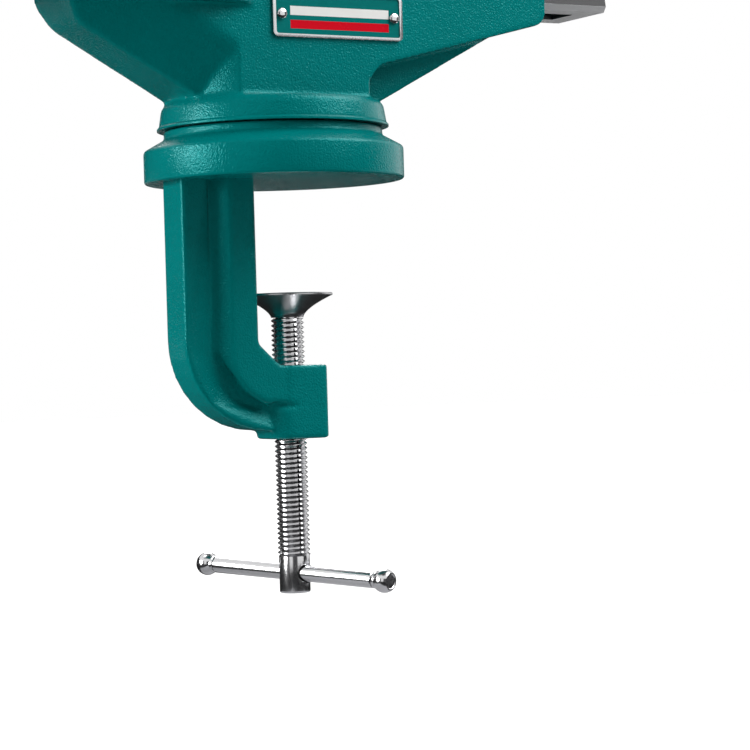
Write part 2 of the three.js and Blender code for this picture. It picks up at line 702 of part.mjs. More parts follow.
function movingJaw() {
  const headBottom = slideTop + headRise;
  const apronLow = slideBottom - apronDrop;
  const head = alongX(outline([
    [headBack, headBottom, castRound / 2], [headBack, seatBottom], [movingSeat, seatBottom],
    [movingSeat, jawTop], [headFront + headBrow / 2, jawTop, castRound],
    [headFront, jawTop - headBrow, castRound], [headFront, headBottom, castRound],
  ]), -jawHalf, jawHalf);
  const apron = alongY(outline([
    [apronHalf, apronLow, apronCorner], [apronHalf, headBottom + castRound],
    [-apronHalf, headBottom + castRound], [-apronHalf, apronLow, apronCorner],
  ]), headFront, headBack);
  const collarEnd = headFront - collarBossLength;
  const collar = rod(collarBossRadius, collarEnd, headFront + overrun, mediumSides, leadCentre, yAxis);
  const slideSection = outline(mirrored([
    [slideHalf - slideChamfer, slideBottom], [slideHalf, slideBottom + slideChamfer], [slideHalf, slideTop],
  ]));
  const slideSide = outline([
    [headBack - overrun, slideBottom], [slideBack, slideBottom],
    [slideBack - slideEndRake, slideTop], [headBack - overrun, slideTop],
  ]);
  const slideBar = alongY(slideSection, headBack - overrun, slideBack);
  const slide = slideBar.intersect(alongX(slideSide, -slideHalf, slideHalf));
  const pocketFront = headFront + frontWall;
  const pocketTop = leadHeight + springWasherRadius + pocketHeadroom;
  const pocketSection = rectangle(-pocketHalf, apronLow - overrun, pocketHalf, pocketTop);
  const pocket = alongY(pocketSection, pocketFront, pocketFront + pocketLength);
  const channel = alongY(
    rectangle(-channelHalf, apronLow - overrun, channelHalf, channelTop),
    pocketFront + pocketLength - overrun,
    slideBack - slideEndWall,
  );
  const bore = hole(
    leadMajor + runningGap, collarEnd - overrun, pocketFront + overrun, smallSides, leadCentre, yAxis,
  );
  const screws = jawScrewPlaces.map((x) => jawScrewHole(x, movingSeat, -1));
  return cut(joined(head, apron, collar, slide), pocket, channel, bore, ...screws);
}

const springFrom = headFront + frontWall + runningGap;
const washerFrom = springFrom + springLength + runningGap;
const pinPlace = washerFrom + washerThickness + runningGap + pinRadius;
const thrustFrom = headFront - collarBossLength - runningGap - washerThickness;
const leadHeadBack = thrustFrom - runningGap;
const leadBarPlace = leadHeadBack - leadHeadLength / 2;
const pinCentre = new THREE.Vector3(0, pinPlace, leadHeight);

function leadScrew() {
  const headFrom = leadHeadBack - leadHeadLength;
  const head = rod(leadHeadRadius, headFrom, leadHeadBack, mediumSides, leadCentre, yAxis, leadHeadChamfer);
  const shankEnd = pinPlace + 2 * leadPitch;
  const shank = rod(leadMajor, leadHeadBack - overrun, shankEnd, mediumSides, leadCentre, yAxis);
  const thread = threaded(
    leadMajor, leadThreadDepth, leadPitch, shankEnd - overrun, leadReach, leadCentre, yAxis,
  );
  const eyeCentre = new THREE.Vector3(0, leadBarPlace, leadHeight);
  const span = leadHeadRadius + overrun;
  const eye = hole(leadBarRadius + leadBarSlack, -span, span, smallSides, eyeCentre, xAxis);
  const pinHole = hole(pinRadius + runningGap, -span, span, smallSides, pinCentre, xAxis);
  return cut(joined(head, shank, thread), eye, pinHole);
}

function washer(outer, inner, from, thickness, centre, axis) {
  const open = inner / Math.cos(Math.PI / smallSides);
  const to = from + thickness;
  const profile = [[open, from], [outer, from], [outer, to], [open, to], [open, from]];
  return turned(profile, mediumSides, centre, axis);
}

// Coil spring as one unbroken wire; the coil is shortened by the wire so its ends stay inside.
function returnSpring() {
  const coilSteps = 8;
  const wireSides = 5;
  const span = springLength - 2 * springWire;
  class Helix extends THREE.Curve {
    getPoint(t) {
      const angle = 2 * Math.PI * springTurns * t;
      const out = [springRadius * Math.cos(angle), springRadius * Math.sin(angle)];
      return new THREE.Vector3(out[0], springFrom + springWire + span * t, leadHeight + out[1]);
    }
  }
  const wire = new THREE.Shape();
  for (let side = 0; side < wireSides; side += 1) {
    const angle = (2 * Math.PI * side) / wireSides;
    const at = [springWire * Math.cos(angle), springWire * Math.sin(angle)];
    if (side === 0) wire.moveTo(...at);
    else wire.lineTo(...at);
  }
  const options = { steps: coilSteps * springTurns, extrudePath: new Helix(), bevelEnabled: false };
  return solidOf(new THREE.ExtrudeGeometry(wire, options));
}

function leadNut() {
  const section = rectangle(-nutHalf, slideBottom, nutHalf, nutTop);
  const block = alongY(section, -nutY - nutHalfLength, nutHalfLength - nutY);
  const footCentre = new THREE.Vector3(0, -nutY, 0);
  const foot = rod(nutFootRadius, slideBottom - nutFootDepth, slideBottom + overrun, smallSides, footCentre);
  const end = nutHalfLength + overrun;
  const centre = new THREE.Vector3(0, -nutY, leadHeight);
  return cut(joined(block, foot), hole(leadMajor + runningGap, -end, end, smallSides, centre, yAxis));
}

function pivotBolt() {
  const headBottom = pivotWebTop + 2 * runningGap + pivotWasherThickness;
  const hexagon = [...Array(6).keys()].map((corner) => {
    const angle = (Math.PI * corner) / 3;
    const radius = pivotHeadAcross / Math.cos(Math.PI / 6);
    return new THREE.Vector2(radius * Math.cos(angle), radius * Math.sin(angle));
  });
  const head = alongZ(hexagon, headBottom, headBottom + pivotHeadHeight);
  return head.add(rod(pivotRadius, pivotTip, headBottom + overrun, smallSides));
}

function lockScrew() {
  const tip = -spigotRadius - lockShoeLength - 2 * runningGap;
  const headEnd = -lockHeadStart - lockHeadLength;
  const thread = threaded(
    lockMajor, lockThreadDepth, lockPitch, -lockHeadStart - overrun, tip, lockCentre, xAxis,
  );
  const head = rod(lockHeadRadius, headEnd, -lockHeadStart, mediumSides, lockCentre, xAxis, lockHeadChamfer);
  const span = lockHeadRadius + overrun;
  const eye = hole(lockBarRadius + lockBarSlack, -span, span, smallSides, lockBarCentre, lockBarAxis);
  return cut(thread.add(head), eye);
}

function namePlate() {
  const back = bodyHalf + runningGap;
  const front = back + labelThickness;
  const sheet = alongX(rectangle(-labelFront, labelBottom, labelBack, labelTop, labelCorner), back, front);
  const field = rectangle(
    labelRim - labelFront, labelBottom + labelRim, labelBack - labelRim, labelTop - labelRim,
    labelCorner - labelRim,
  );
  const sunk = alongX(field, front - labelSunk, front + overrun);
  return cut(sheet, sunk, ...rivetPlaces.map((y) => rivetHole(y, back - overrun, front + overrun)));
}

// The rivet's domed head stands on the sunk field and covers its hole.
function plateRivet(y) {
  const under = bodyHalf + labelThickness - labelSunk + 2 * runningGap;
  const dome = [];
  for (let step = 0; step <= cornerSteps; step += 1) {
    const angle = (Math.PI / 2) * (step / cornerSteps);
    const radius = step === cornerSteps ? 0 : rivetRadius * Math.cos(angle);
    dome.push([radius, under + rivetDome * (1 + Math.sin(angle)) / 2]);
  }
  return turned([
    [0, bodyHalf - rivetDepth], [rivetShank, bodyHalf - rivetDepth], [rivetShank, under],
    [rivetRadius, under], ...dome,
  ], smallSides, new THREE.Vector3(0, y, rivetHeight), xAxis);
}

add("clamp_frame", clampFrame(), paint);
add("clamp_pad", clampPad(), chrome);
add("clamp_screw", clampScrew(), chrome);
addBar("clamp_bar", ["clamp_bar_cap_near", "clamp_bar_cap_far"], clampBarRadius, clampCapRadius,
  clampBarReach, clampBarCentre.clone().addScaledVector(clampBarAxis, -clampBarSlide), clampBarAxis);

add("swivel_body", swivelBody(), paint);
add("pivot_washer", washer(pivotWasherRadius, pivotRadius + runningGap, pivotWebTop + runningGap,
  pivotWasherThickness), ground);
add("pivot_bolt", pivotBolt(), blackened);
add("lock_shoe", rod(lockMajor, -spigotRadius - runningGap - lockShoeLength, -spigotRadius - runningGap,
  smallSides, lockCentre, xAxis), bronze);
add("lock_screw", lockScrew(), chrome);
addBar("lock_bar", ["lock_bar_cap_upper", "lock_bar_cap_lower"],
  lockBarRadius, lockCapRadius, lockBarReach, lockBarCentre, lockBarAxis);
add("lead_screw_nut", leadNut(), ground);
add("name_plate", namePlate(), ground);
rivetPlaces.forEach((y, i) => add(`name_plate_rivet_${["front", "back"][i]}`, plateRivet(y), chrome));

add("fixed_jaw_plate", jawPlate(fixedFace, 1), hardened);
add("moving_jaw", movingJaw(), paint);
add("moving_jaw_plate", jawPlate(movingFace, -1), hardened);
jawScrewPlaces.forEach((x, i) => {
  const side = ["far", "near"][i];
  add(`fixed_jaw_screw_${side}`, jawScrew(x, fixedFace, 1), blackened);
  add(`moving_jaw_screw_${side}`, jawScrew(x, movingFace, -1), blackened);
});

add("lead_screw", leadScrew(), chrome);
add("thrust_washer", washer(thrustWasherRadius, leadMajor + runningGap, thrustFrom, washerThickness,
  leadCentre, yAxis), ground);
add("return_spring", returnSpring(), ground);
add("spring_washer", washer(springWasherRadius, leadMajor + runningGap, washerFrom, washerThickness,
  leadCentre, yAxis), ground);
const pinHalf = springWasherRadius - pinInset;
add("spring_pin", rod(pinRadius, -pinHalf, pinHalf, smallSides, pinCentre, xAxis), ground);
addBar("lead_screw_bar", ["lead_screw_bar_cap_near", "lead_screw_bar_cap_far"],
  leadBarRadius, leadCapRadius, leadBarReach, new THREE.Vector3(0, leadBarPlace, leadHeight), xAxis);

export default group;
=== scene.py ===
# %% [markdown]
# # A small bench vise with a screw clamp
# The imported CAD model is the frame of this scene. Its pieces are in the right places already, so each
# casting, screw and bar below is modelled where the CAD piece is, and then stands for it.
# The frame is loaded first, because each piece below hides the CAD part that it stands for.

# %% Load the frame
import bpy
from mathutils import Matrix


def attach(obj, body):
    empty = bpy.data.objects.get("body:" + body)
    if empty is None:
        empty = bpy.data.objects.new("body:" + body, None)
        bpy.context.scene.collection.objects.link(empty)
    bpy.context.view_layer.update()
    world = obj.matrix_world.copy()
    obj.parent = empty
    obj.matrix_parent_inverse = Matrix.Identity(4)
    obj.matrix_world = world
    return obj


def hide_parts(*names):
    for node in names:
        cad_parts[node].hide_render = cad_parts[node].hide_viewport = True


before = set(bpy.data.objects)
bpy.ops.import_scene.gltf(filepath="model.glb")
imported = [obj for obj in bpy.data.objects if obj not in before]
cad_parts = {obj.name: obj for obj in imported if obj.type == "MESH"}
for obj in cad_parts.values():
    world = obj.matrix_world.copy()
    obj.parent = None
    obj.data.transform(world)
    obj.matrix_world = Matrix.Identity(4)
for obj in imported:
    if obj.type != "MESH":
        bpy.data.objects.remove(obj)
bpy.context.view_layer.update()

# %% [markdown]
# ## Working in millimetres
# Drawings of machine parts are in millimetres and Blender is in metres. The shapes below are drawn in
# millimetres in a bmesh, which is Blender's editable mesh, and are scaled once, when they become objects.
# A slab is an outline pulled straight, like a piece sawn from plate. A turned shape is half an outline
# spun about its axis, like a piece from a lathe. Nearly every part of a vise is one of these two.

# %% Slabs, as if sawn from plate
import math
import bmesh
import bpy
from mathutils import Matrix, Vector

MM = 0.001
WELD = 1e-4
ARC_STEPS = 8


def verts_of(geometry):
    """The vertices among what an operator gives back."""
    return [part for part in geometry if isinstance(part, bmesh.types.BMVert)]


def slab(outline, axis, low, high):
    """Corners (a, b) or (a, b, radius) on the other two axes in x, y, z order, pulled along the axis."""
    place = {"x": lambda a, b: (low, a, b),
             "y": lambda a, b: (a, low, b),
             "z": lambda a, b: (a, b, low)}[axis]
    bm = bmesh.new()
    corners = [bm.verts.new(place(*corner[:2])) for corner in outline]
    bm.faces.new(corners)
    befores, afters = outline[-1:] + outline[:-1], outline[1:] + outline[:1]
    for vert, corner, before, after in zip(corners, outline, befores, afters):
        if len(corner) > 2:
            here = Vector(corner[:2])
            bend = (Vector(before[:2]) - here).angle(Vector(after[:2]) - here)
            bmesh.ops.bevel(bm, geom=[vert], offset=corner[2] / math.tan(bend / 2), affect="VERTICES",
                            segments=ARC_STEPS, profile=0.5, material=-1)
    pulled = bmesh.ops.extrude_face_region(bm, geom=list(bm.faces))["geom"]
    pull = Vector([(high - low) * (name == axis) for name in "xyz"])
    bmesh.ops.translate(bm, vec=pull, verts=verts_of(pulled))
    return bm


def box(low, high):
    """A slab with four corners."""
    (left, near, bottom), (right, far, top) = low, high
    return slab([(left, near), (right, near), (right, far), (left, far)], "z", bottom, top)


def mirrored(half):
    """An outline from its right half, listed from the bottom up."""
    return half + [(-corner[0], *corner[1:]) for corner in reversed(half)]


# %% Turned shapes, as if from a lathe
ORIGIN = (0, 0, 0)
ALONG_X, ALONG_Y, UP, DOWN = (1, 0, 0), (0, 1, 0), (0, 0, 1), (0, 0, -1)


def laid(bm, centre, axis):
    """Moves a shape made upright at the origin to its centre, and tips it onto its axis."""
    tip = Vector(UP).rotation_difference(Vector(axis)).to_matrix().to_4x4()
    bmesh.ops.transform(bm, matrix=Matrix.Translation(centre) @ tip, verts=bm.verts)
    return bm


def drawn(bm, profile):
    """Draws (radius, height) points as one line that is ready to be spun."""
    line = [bm.verts.new((radius, 0, height)) for radius, height in profile]
    return line + [bm.edges.new(pair) for pair in zip(line, line[1:])]


def turned(profile, centre=ORIGIN, axis=UP, sides=64):
    """Spins (radius, height) points about an axis."""
    bm = bmesh.new()
    bmesh.ops.spin(bm, geom=drawn(bm, profile), cent=ORIGIN, axis=UP, angle=math.tau, steps=sides,
                   use_merge=True)
    bmesh.ops.remove_doubles(bm, verts=bm.verts, dist=WELD)
    return laid(bm, centre, axis)


def rod(radius, low, high, centre=ORIGIN, axis=UP, chamfer=0, sides=64):
    """A round bar, with its two ends broken by a chamfer where one is given."""
    profile = [(0, low), (radius - chamfer, low), (radius, low + chamfer),
               (radius, high - chamfer), (radius - chamfer, high), (0, high)]
    return turned(profile, centre, axis, sides)


def cleaned(bm):
    """Merges a shape's doubles and turns its faces outwards."""
    bmesh.ops.remove_doubles(bm, verts=bm.verts, dist=WELD)
    bmesh.ops.recalc_face_normals(bm, faces=bm.faces)
    return bm


def soften(bm, width, segments=3, sharper_than=25):
    """Rounds every edge at which two faces meet at more than an angle."""
    cleaned(bm)
    edges = [e for e in bm.edges if e.is_manifold and e.calc_face_angle() > math.radians(sharper_than)]
    bmesh.ops.bevel(bm, geom=edges, offset=width, affect="EDGES", segments=segments, profile=0.5,
                    material=-1, clamp_overlap=True)
    return bm


# %% From shapes to pieces
def piece_from(name, finish, *shapes):
    """Puts shapes into one object, in metres, with every face outwards."""
    whole = bmesh.new()
    for bm in shapes:
        part = bpy.data.meshes.new(name)
        cleaned(bm).to_mesh(part)
        bm.free()
        whole.from_mesh(part)
        bpy.data.meshes.remove(part)
    bmesh.ops.scale(whole, vec=(MM, MM, MM), verts=whole.verts)
    mesh = bpy.data.meshes.new(name)
    whole.to_mesh(mesh)
    whole.free()
    mesh.materials.append(finish.material)
    piece = bpy.data.objects.new(name, mesh)
    bpy.context.scene.collection.objects.link(piece)
    return piece


def shape_from(piece):
    """Takes a piece back into a shape in millimetres, after which the piece is gone."""
    bm = bmesh.new()
    bm.from_mesh(piece.data)
    bmesh.ops.scale(bm, vec=(1 / MM, 1 / MM, 1 / MM), verts=bm.verts)
    bpy.data.objects.remove(piece)
    return bm


def settle(piece):
    """Turns a piece's modifiers into its mesh."""
    done = bpy.data.meshes.new_from_object(piece.evaluated_get(bpy.context.evaluated_depsgraph_get()))
    piece.modifiers.clear()
    piece.data = done
    return piece


def boolean(piece, operation, tool):
    """One Boolean step, after which the tool is gone."""
    step = piece.modifiers.new("tool", "BOOLEAN")
    step.operation = operation
    step.solver = "MANIFOLD"
    step.material_mode = "TRANSFER"
    step.object = tool
    settle(piece)
    bpy.data.objects.remove(tool)


def combine(piece, operation, finish, *shapes):
    """Cuts shapes from a piece (DIFFERENCE), joins them to it (UNION) or keeps what they share (INTERSECT).
    The shapes are joined to each other first, because one step on a large piece is quicker than many."""
    tool = piece_from("tool", finish, shapes[0])
    for shape in shapes[1:]:
        boolean(tool, "UNION", piece_from("tool part", finish, shape))
    boolean(piece, operation, tool)
    return piece


def placed(piece, body, finish_slot, *nodes, crease=32):
    """Shades a piece, gives it its body, and lets it stand for CAD nodes. The finish slot is not used."""
    piece.data.shade_smooth()
    piece.data.set_sharp_from_angle(angle=math.radians(crease))
    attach(piece, body)
    if nodes:
        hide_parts(*nodes)
    piece.data.calc_loop_triangles()
    print(f"{piece.name}: {len(piece.data.loop_triangles)} triangles")
    return piece


# %% [markdown]
# ## Camera
# The camera stands where the photograph was taken from: a long lens, nearly level, turned so that the
# name-plate side fills the view and the front of the vise is seen at a slant. Its place was worked out
# from the round foot, the plate and the clamp screw, and it also leans a little to one side.

# %% Camera
TURN, TILT, LEAN = math.radians(60.5), math.radians(0.3), math.radians(1.7)
CAMERA_PLACE = (0.8047, -0.4159, -0.0661)
back = Vector((math.sin(TURN) * math.cos(TILT), -math.cos(TURN) * math.cos(TILT), math.sin(TILT)))
level = Vector((math.cos(TURN), math.sin(TURN), 0))
upright = back.cross(level)
right = math.cos(LEAN) * level - math.sin(LEAN) * upright
up = math.sin(LEAN) * level + math.cos(LEAN) * upright
camera = bpy.data.objects.new("camera", bpy.data.cameras.new("camera"))
camera.data.lens = 120
camera.data.sensor_width = 36
camera.data.clip_start = 0.01
turn = Matrix((right, up, back)).transposed().to_4x4()
camera.matrix_world = Matrix.Translation(CAMERA_PLACE) @ turn
bpy.context.scene.collection.objects.link(camera)
bpy.context.scene.camera = camera
bpy.context.scene.view_settings.view_transform = "Standard"
print("camera at", camera.matrix_world.translation)

# %% [markdown]
# ## Shader maths as Python
# A finish is a net of nodes, and a plain sum of two masks already takes several. One small class wraps
# the output of a node, so that a Python sum adds the Math nodes by itself. The other class is a material
# and has one method that makes any other node, so that each finish below is a few readable lines.

# %% Numbers and finishes
class Number:
    """A shader socket that can be used in a Python sum. Each operator adds one Math node."""

    def __init__(self, finish, socket):
        self.finish, self.socket = finish, socket

    def maths(self, operation, *values):
        return Number(self.finish, self.finish.node("ShaderNodeMath", {"operation": operation}, values))

    def at_most(self, limit):
        return self.maths("MINIMUM", self, limit)

    def __add__(self, other):
        return self.maths("ADD", self, other)

    def __sub__(self, other):
        return self.maths("SUBTRACT", self, other)

    def __rsub__(self, other):
        return self.maths("SUBTRACT", other, self)

    def __mul__(self, other):
        return self.maths("MULTIPLY", self, other)

    def __gt__(self, other):
        return self.maths("GREATER_THAN", self, other)

    def __lt__(self, other):
        return self.maths("LESS_THAN", self, other)

    __radd__, __rmul__ = __add__, __mul__


class Finish:
    """A material: its shader's plain values, and one method that adds any other node."""

    def __init__(self, name, tree=None, **values):
        if tree is None:
            self.material = bpy.data.materials.new(name)
            self.material.use_nodes = True
            tree = self.material.node_tree
        self.tree = tree
        self.shader = tree.nodes.get("Principled BSDF")
        for socket, value in values.items():
            self.shader.inputs[socket.replace("_", " ")].default_value = value
        self.coords = None

    def node(self, kind, settings=None, inputs=None, output=0):
        """Settings are set first. Inputs are a row, or a dictionary by name, of numbers, links or Numbers."""
        node = self.tree.nodes.new(kind)
        for key, value in (settings or {}).items():
            setattr(node, key, value)
        pairs = inputs.items() if isinstance(inputs, dict) else enumerate(inputs or [])
        for key, value in pairs:
            self.put(node.inputs[key], value)
        return node.outputs[output]

    def put(self, socket, value):
        if isinstance(value, Number):
            value = value.socket
        if isinstance(value, bpy.types.NodeSocket):
            self.tree.links.new(value, socket)
        else:
            socket.default_value = value

    def feed(self, name, value):
        self.put(self.shader.inputs[name], value)

    def where(self, stretch=(1, 1, 1)):
        """Object coordinates, squeezed by a factor along each axis."""
        if self.coords is None:
            self.coords = self.node("ShaderNodeTexCoord", output="Object")
        return self.node("ShaderNodeMapping", {}, {"Vector": self.coords, "Scale": stretch})

    def axis(self, name):
        """One coordinate in millimetres, as a Number."""
        split = self.node("ShaderNodeSeparateXYZ", {}, [self.where()], "XYZ".index(name))
        return Number(self, split) * 1000

    def noise(self, scale, detail=3, rough=0.5, stretch=(1, 1, 1)):
        values = {"Vector": self.where(stretch), "Scale": scale, "Detail": detail, "Roughness": rough}
        return Number(self, self.node("ShaderNodeTexNoise", {}, values))

    def mix(self, share, first, second):
        """A colour between two, by a share from 0 to 1. These are a Mix node's sockets for colours."""
        return self.node("ShaderNodeMix", {"data_type": "RGBA"}, {0: share, 6: first, 7: second}, 2)

    def bump(self, height, depth, under=None):
        """A bump of a depth in millimetres over another bump."""
        values = {"Strength": 1.0, "Distance": depth * MM, "Height": height}
        if under is not None:
            values["Normal"] = under
        return self.node("ShaderNodeBump", {}, values)


# %% [markdown]
# ## Studio
# The studio is a white floor and white surroundings with five soft lamps. Bright metal only looks like
# metal when it has something dark to mirror, so dark cards stand all round the vise, one hangs above it
# and one lies on the floor, as in a photographer's studio. A grey and a pale card lie on the dark one,
# and lighten what the lowest parts mirror. Only reflections see the cards.
# The floor is 19 mm below the vise, so that the clamp's bar stays above it at every pose.

# %% Surroundings
WHITE, BLACK = (1, 1, 1, 1), (0, 0, 0, 1)
AMBIENT = 0.12


def seen_or_mirrored(finish):
    """1 for rays that come from the camera, a mirror or glass, and 0 for the rays that light things."""
    rays = [Number(finish, finish.node("ShaderNodeLightPath", output=f"Is {kind} Ray"))
            for kind in ("Camera", "Glossy", "Transmission")]
    return (rays[0] + rays[1] + rays[2]).at_most(1.0)


world = bpy.data.worlds.new("studio")
bpy.context.scene.world = world
world.use_nodes = True
sky = Finish("studio", world.node_tree)
background = world.node_tree.nodes["Background"]
sky.put(background.inputs["Color"], WHITE)
sky.put(background.inputs["Strength"], seen_or_mirrored(sky) * (1 - AMBIENT) + AMBIENT)
print("light from all round:", AMBIENT)


# %% Lamps
def lamp(name, place, size, power):
    """A round soft lamp that faces the vise, with its place and size in metres and its power in watts."""
    light = bpy.data.lights.new(name, "AREA")
    light.shape = "DISK"
    light.size = size
    light.energy = power
    lamp_object = bpy.data.objects.new(name, light)
    towards_vise = (-Vector(place)).to_track_quat("-Z", "Y").to_matrix().to_4x4()
    lamp_object.matrix_world = Matrix.Translation(place) @ towards_vise
    bpy.context.scene.collection.objects.link(lamp_object)


lamp("softbox front", (-0.17, -1.37, 0.2), size=0.7, power=14.6)
lamp("glint", (-0.5, -1.2, 0.35), size=0.26, power=4)
lamp("softbox above", (-0.25, -0.35, 1.2), size=0.6, power=3)
lamp("softbox side", (0.42, 0.46, 0.62), size=0.8, power=10.2)
lamp("softbox behind", (-1.2, 0.6, 0.8), size=0.7, power=9)
print("lamps:", [light.name for light in bpy.data.lights])

# %% Floor
FLOOR_LEVEL, FLOOR_HALF = -0.168, 4
GLOW_AT_VISE, GLOW_GROWTH = 0.65, 0.9


def grey(shade, blue=0.01):
    """A grey with a little more blue in it."""
    return (shade, shade, shade + blue, 1)


floor_finish = Finish("floor", Roughness=0.9, Emission_Strength=1)
floor_finish.feed("Base Color", floor_finish.mix(floor_finish.noise(3), grey(0.40, 0), grey(0.43, 0)))
floor_x, floor_y = floor_finish.axis("X") * MM, floor_finish.axis("Y") * MM
growth = (floor_x * floor_x + floor_y * floor_y) * GLOW_GROWTH
glow = seen_or_mirrored(floor_finish) * (growth.at_most(1 - GLOW_AT_VISE) + GLOW_AT_VISE)
floor_finish.feed("Emission Color", floor_finish.mix(glow, BLACK, WHITE))
sheet = bmesh.new()
bmesh.ops.create_grid(sheet, x_segments=2, y_segments=2, size=FLOOR_HALF / MM)
bmesh.ops.translate(sheet, vec=(0, 0, FLOOR_LEVEL / MM), verts=sheet.verts)
floor = piece_from("floor", floor_finish, sheet)
floor.data.flip_normals()
print("floor at", FLOOR_LEVEL)

# %% Cards for reflections
CARD_DISTANCE = 1.75
LOWER_LEVEL, UPPER_LEVEL = FLOOR_LEVEL + 0.0005, FLOOR_LEVEL + 0.001
SHADES_ROUND = {-155: 0.04, -122: 0.05, -82: 0.06, -22: 0.14, 62: 0.05, 148: 0.02, 184: 0.02}


def card(name, shade, width, height, centre, facing):
    """A dull panel that only mirror-like metal sees. All its sizes are in metres."""
    bm = bmesh.new()
    bmesh.ops.create_grid(bm, x_segments=1, y_segments=1, size=0.5)
    bmesh.ops.scale(bm, vec=(width / MM, height / MM, 1), verts=bm.verts)
    tip = Vector(facing).to_track_quat("Z", "Y").to_matrix().to_4x4()
    bmesh.ops.transform(bm, matrix=Matrix.Translation(Vector(centre) / MM) @ tip, verts=bm.verts)
    dull = Finish(name, Base_Color=grey(shade, shade * 0.04), Roughness=0.9, Specular_IOR_Level=0)
    panel = piece_from(name, dull, bm)
    panel.visible_camera = panel.visible_diffuse = panel.visible_shadow = False


for azimuth, shade in SHADES_ROUND.items():
    angle = math.radians(azimuth)
    outwards = Vector((math.cos(angle), math.sin(angle), 0))
    card(f"card {azimuth}", shade, width=1.1, height=1.5, centre=outwards * CARD_DISTANCE, facing=outwards)
card("card above", 0.22, width=2.2, height=2.2, centre=(0, 0, 1.9), facing=UP)
card("card on the floor", 0.02, width=2.6, height=2.6, centre=(0, 0, LOWER_LEVEL), facing=DOWN)
card("grey card under the screw", 0.4, width=0.12, height=0.12, centre=(0, 0, UPPER_LEVEL), facing=DOWN)
card("pale card on the floor", 0.9, width=0.4, height=0.3, centre=(0.05, 0.47, UPPER_LEVEL), facing=DOWN)

# %% [markdown]
# ## Finishes
# The castings are sand-cast iron under thick teal paint. The sand leaves the skin slightly pebbled and
# the paint smooths it, so the shine breaks into small sparkling spots. That is two sizes of noise in the
# bump, with a faint change of colour. Screws and bars are bright chrome over turning marks, and the pad
# is duller. Machined faces are bare iron. The slide is dark, oiled iron with marks along its length; its
# chamfers and underside are painted light grey, as a painted highlight and a painted reflection of a
# bright floor. The washers are ground, the jaw plates are hardened and darker, the lock's shoe is bronze,
# and the small screws are blackened.

# %% Teal paint
TEAL, TEAL_DEEP, TEAL_SHINE = (0.0, 0.186, 0.182, 1), (0.0, 0.156, 0.152, 1), (0.06, 0.85, 0.85, 1)
paint = Finish("cast_paint", Roughness=0.3, Specular_IOR_Level=0.28, Specular_Tint=TEAL_SHINE)
paint.feed("Base Color", paint.mix(paint.noise(60, detail=4), TEAL_DEEP, TEAL))
pebbles = paint.bump(paint.noise(500, detail=2, rough=0.6), depth=0.045)
grains = paint.bump(paint.noise(1450, detail=1), depth=0.2, under=pebbles)
paint.feed("Normal", grains)
paint.feed("Roughness", paint.noise(500, detail=2) * 0.13 + 0.105)
print("nodes in the paint:", len(paint.tree.nodes))


# %% Bare metals
def worked(name, rough, marks, depth, stretch=(1, 1, 1), scale=900):
    """Metal whose shine and surface vary along the direction it was worked in."""
    made = Finish(name, Metallic=1.0, Roughness=rough)
    lines = made.noise(scale, rough=0.6, stretch=stretch)
    made.feed("Roughness", lines * marks + (rough - marks / 2))
    made.feed("Normal", made.bump(lines, depth))
    return made


def metal(name, light, dark, **working):
    """Worked metal that varies between a light and a dark colour."""
    made = worked(name, **working)
    made.feed("Base Color", made.mix(made.noise(45), dark, light))
    return made


LENGTHWISE = (1, 0.03, 1)
chrome = metal("bright_chrome", grey(0.72), grey(0.64), rough=0.17, marks=0.1, depth=0.004, scale=700)
dull_chrome = metal("dull_chrome", grey(0.5), grey(0.4), rough=0.3, marks=0.1, depth=0.006, scale=700)
iron = metal("machined_iron", grey(0.3), grey(0.23), rough=0.42, marks=0.16, depth=0.012, stretch=LENGTHWISE)
ground = metal("ground_finish", grey(0.62), grey(0.50, 0.02), rough=0.28, marks=0.14, depth=0.01,
               stretch=(1, 0.1, 1))
hardened = metal("hardened_finish", grey(0.42, 0.02), grey(0.30, 0.03), rough=0.3, marks=0.14, depth=0.01,
                 stretch=(0.03, 1, 1))
bronze = metal("bronze_finish", (0.55, 0.34, 0.15, 1), (0.42, 0.25, 0.10, 1), rough=0.34, marks=0.12,
               depth=0.01, stretch=(1, 0.2, 1))
blackened = metal("blackened_finish", grey(0.05, 0.005), grey(0.02, 0.004), rough=0.42, marks=0.14,
                  depth=0.01)
print("finishes:", [material.name for material in bpy.data.materials])

# %% The slide's dark iron
SLIDE_CHAMFER, SLIDE_UNDERSIDE = 67.05, 65.1
slide_finish = worked("slide_finish", rough=0.45, marks=0.16, depth=0.012, stretch=LENGTHWISE)
length_marks = slide_finish.noise(900, rough=0.6, stretch=LENGTHWISE)
streaks = slide_finish.mix(length_marks, grey(0.06, 0.002), grey(0.085, 0.003))
# Painted light: the chamfers get a light grey as a painted highlight, and the underside a paler grey as a
# painted reflection of a bright floor, with less metal so that it shows.
chamfer = slide_finish.axis("Z") < SLIDE_CHAMFER
underside = slide_finish.axis("Z") < SLIDE_UNDERSIDE
streaks_with_chamfer_highlight = slide_finish.mix(chamfer, streaks, grey(0.55))
slide_finish.feed("Base Color", slide_finish.mix(underside, streaks_with_chamfer_highlight, grey(0.66)))
slide_finish.feed("Metallic", 0.3 - underside * 0.1)
print("nodes in the slide's finish:", len(slide_finish.tree.nodes))

# %% [markdown]
# ## Base casting
# The foot, the spigot that the body turns on and the C-shaped arm below the foot are one iron casting.
# The foot is turned, so its edges are crisp. The arm is as the sand left it: a thick edge on the inside
# of the C, a thin web and a bead along the back, with every corner soft. The arm's slabs are laid over
# each other and given one skin by a voxel remesh, which melts overlapping shapes together, and a few
# passes of smoothing then round all edges and fill all inner corners at once, as casting does.

# %% The cast skin
def cast(piece, grain, passes):
    """One skin over all of a piece's shapes, with soft edges."""
    skin = piece.modifiers.new("skin", "REMESH")
    skin.mode = "VOXEL"
    skin.voxel_size = grain * MM
    skin.use_smooth_shade = True
    soft = piece.modifiers.new("soft", "SMOOTH")
    soft.factor = 0.5
    soft.iterations = passes
    return settle(piece)


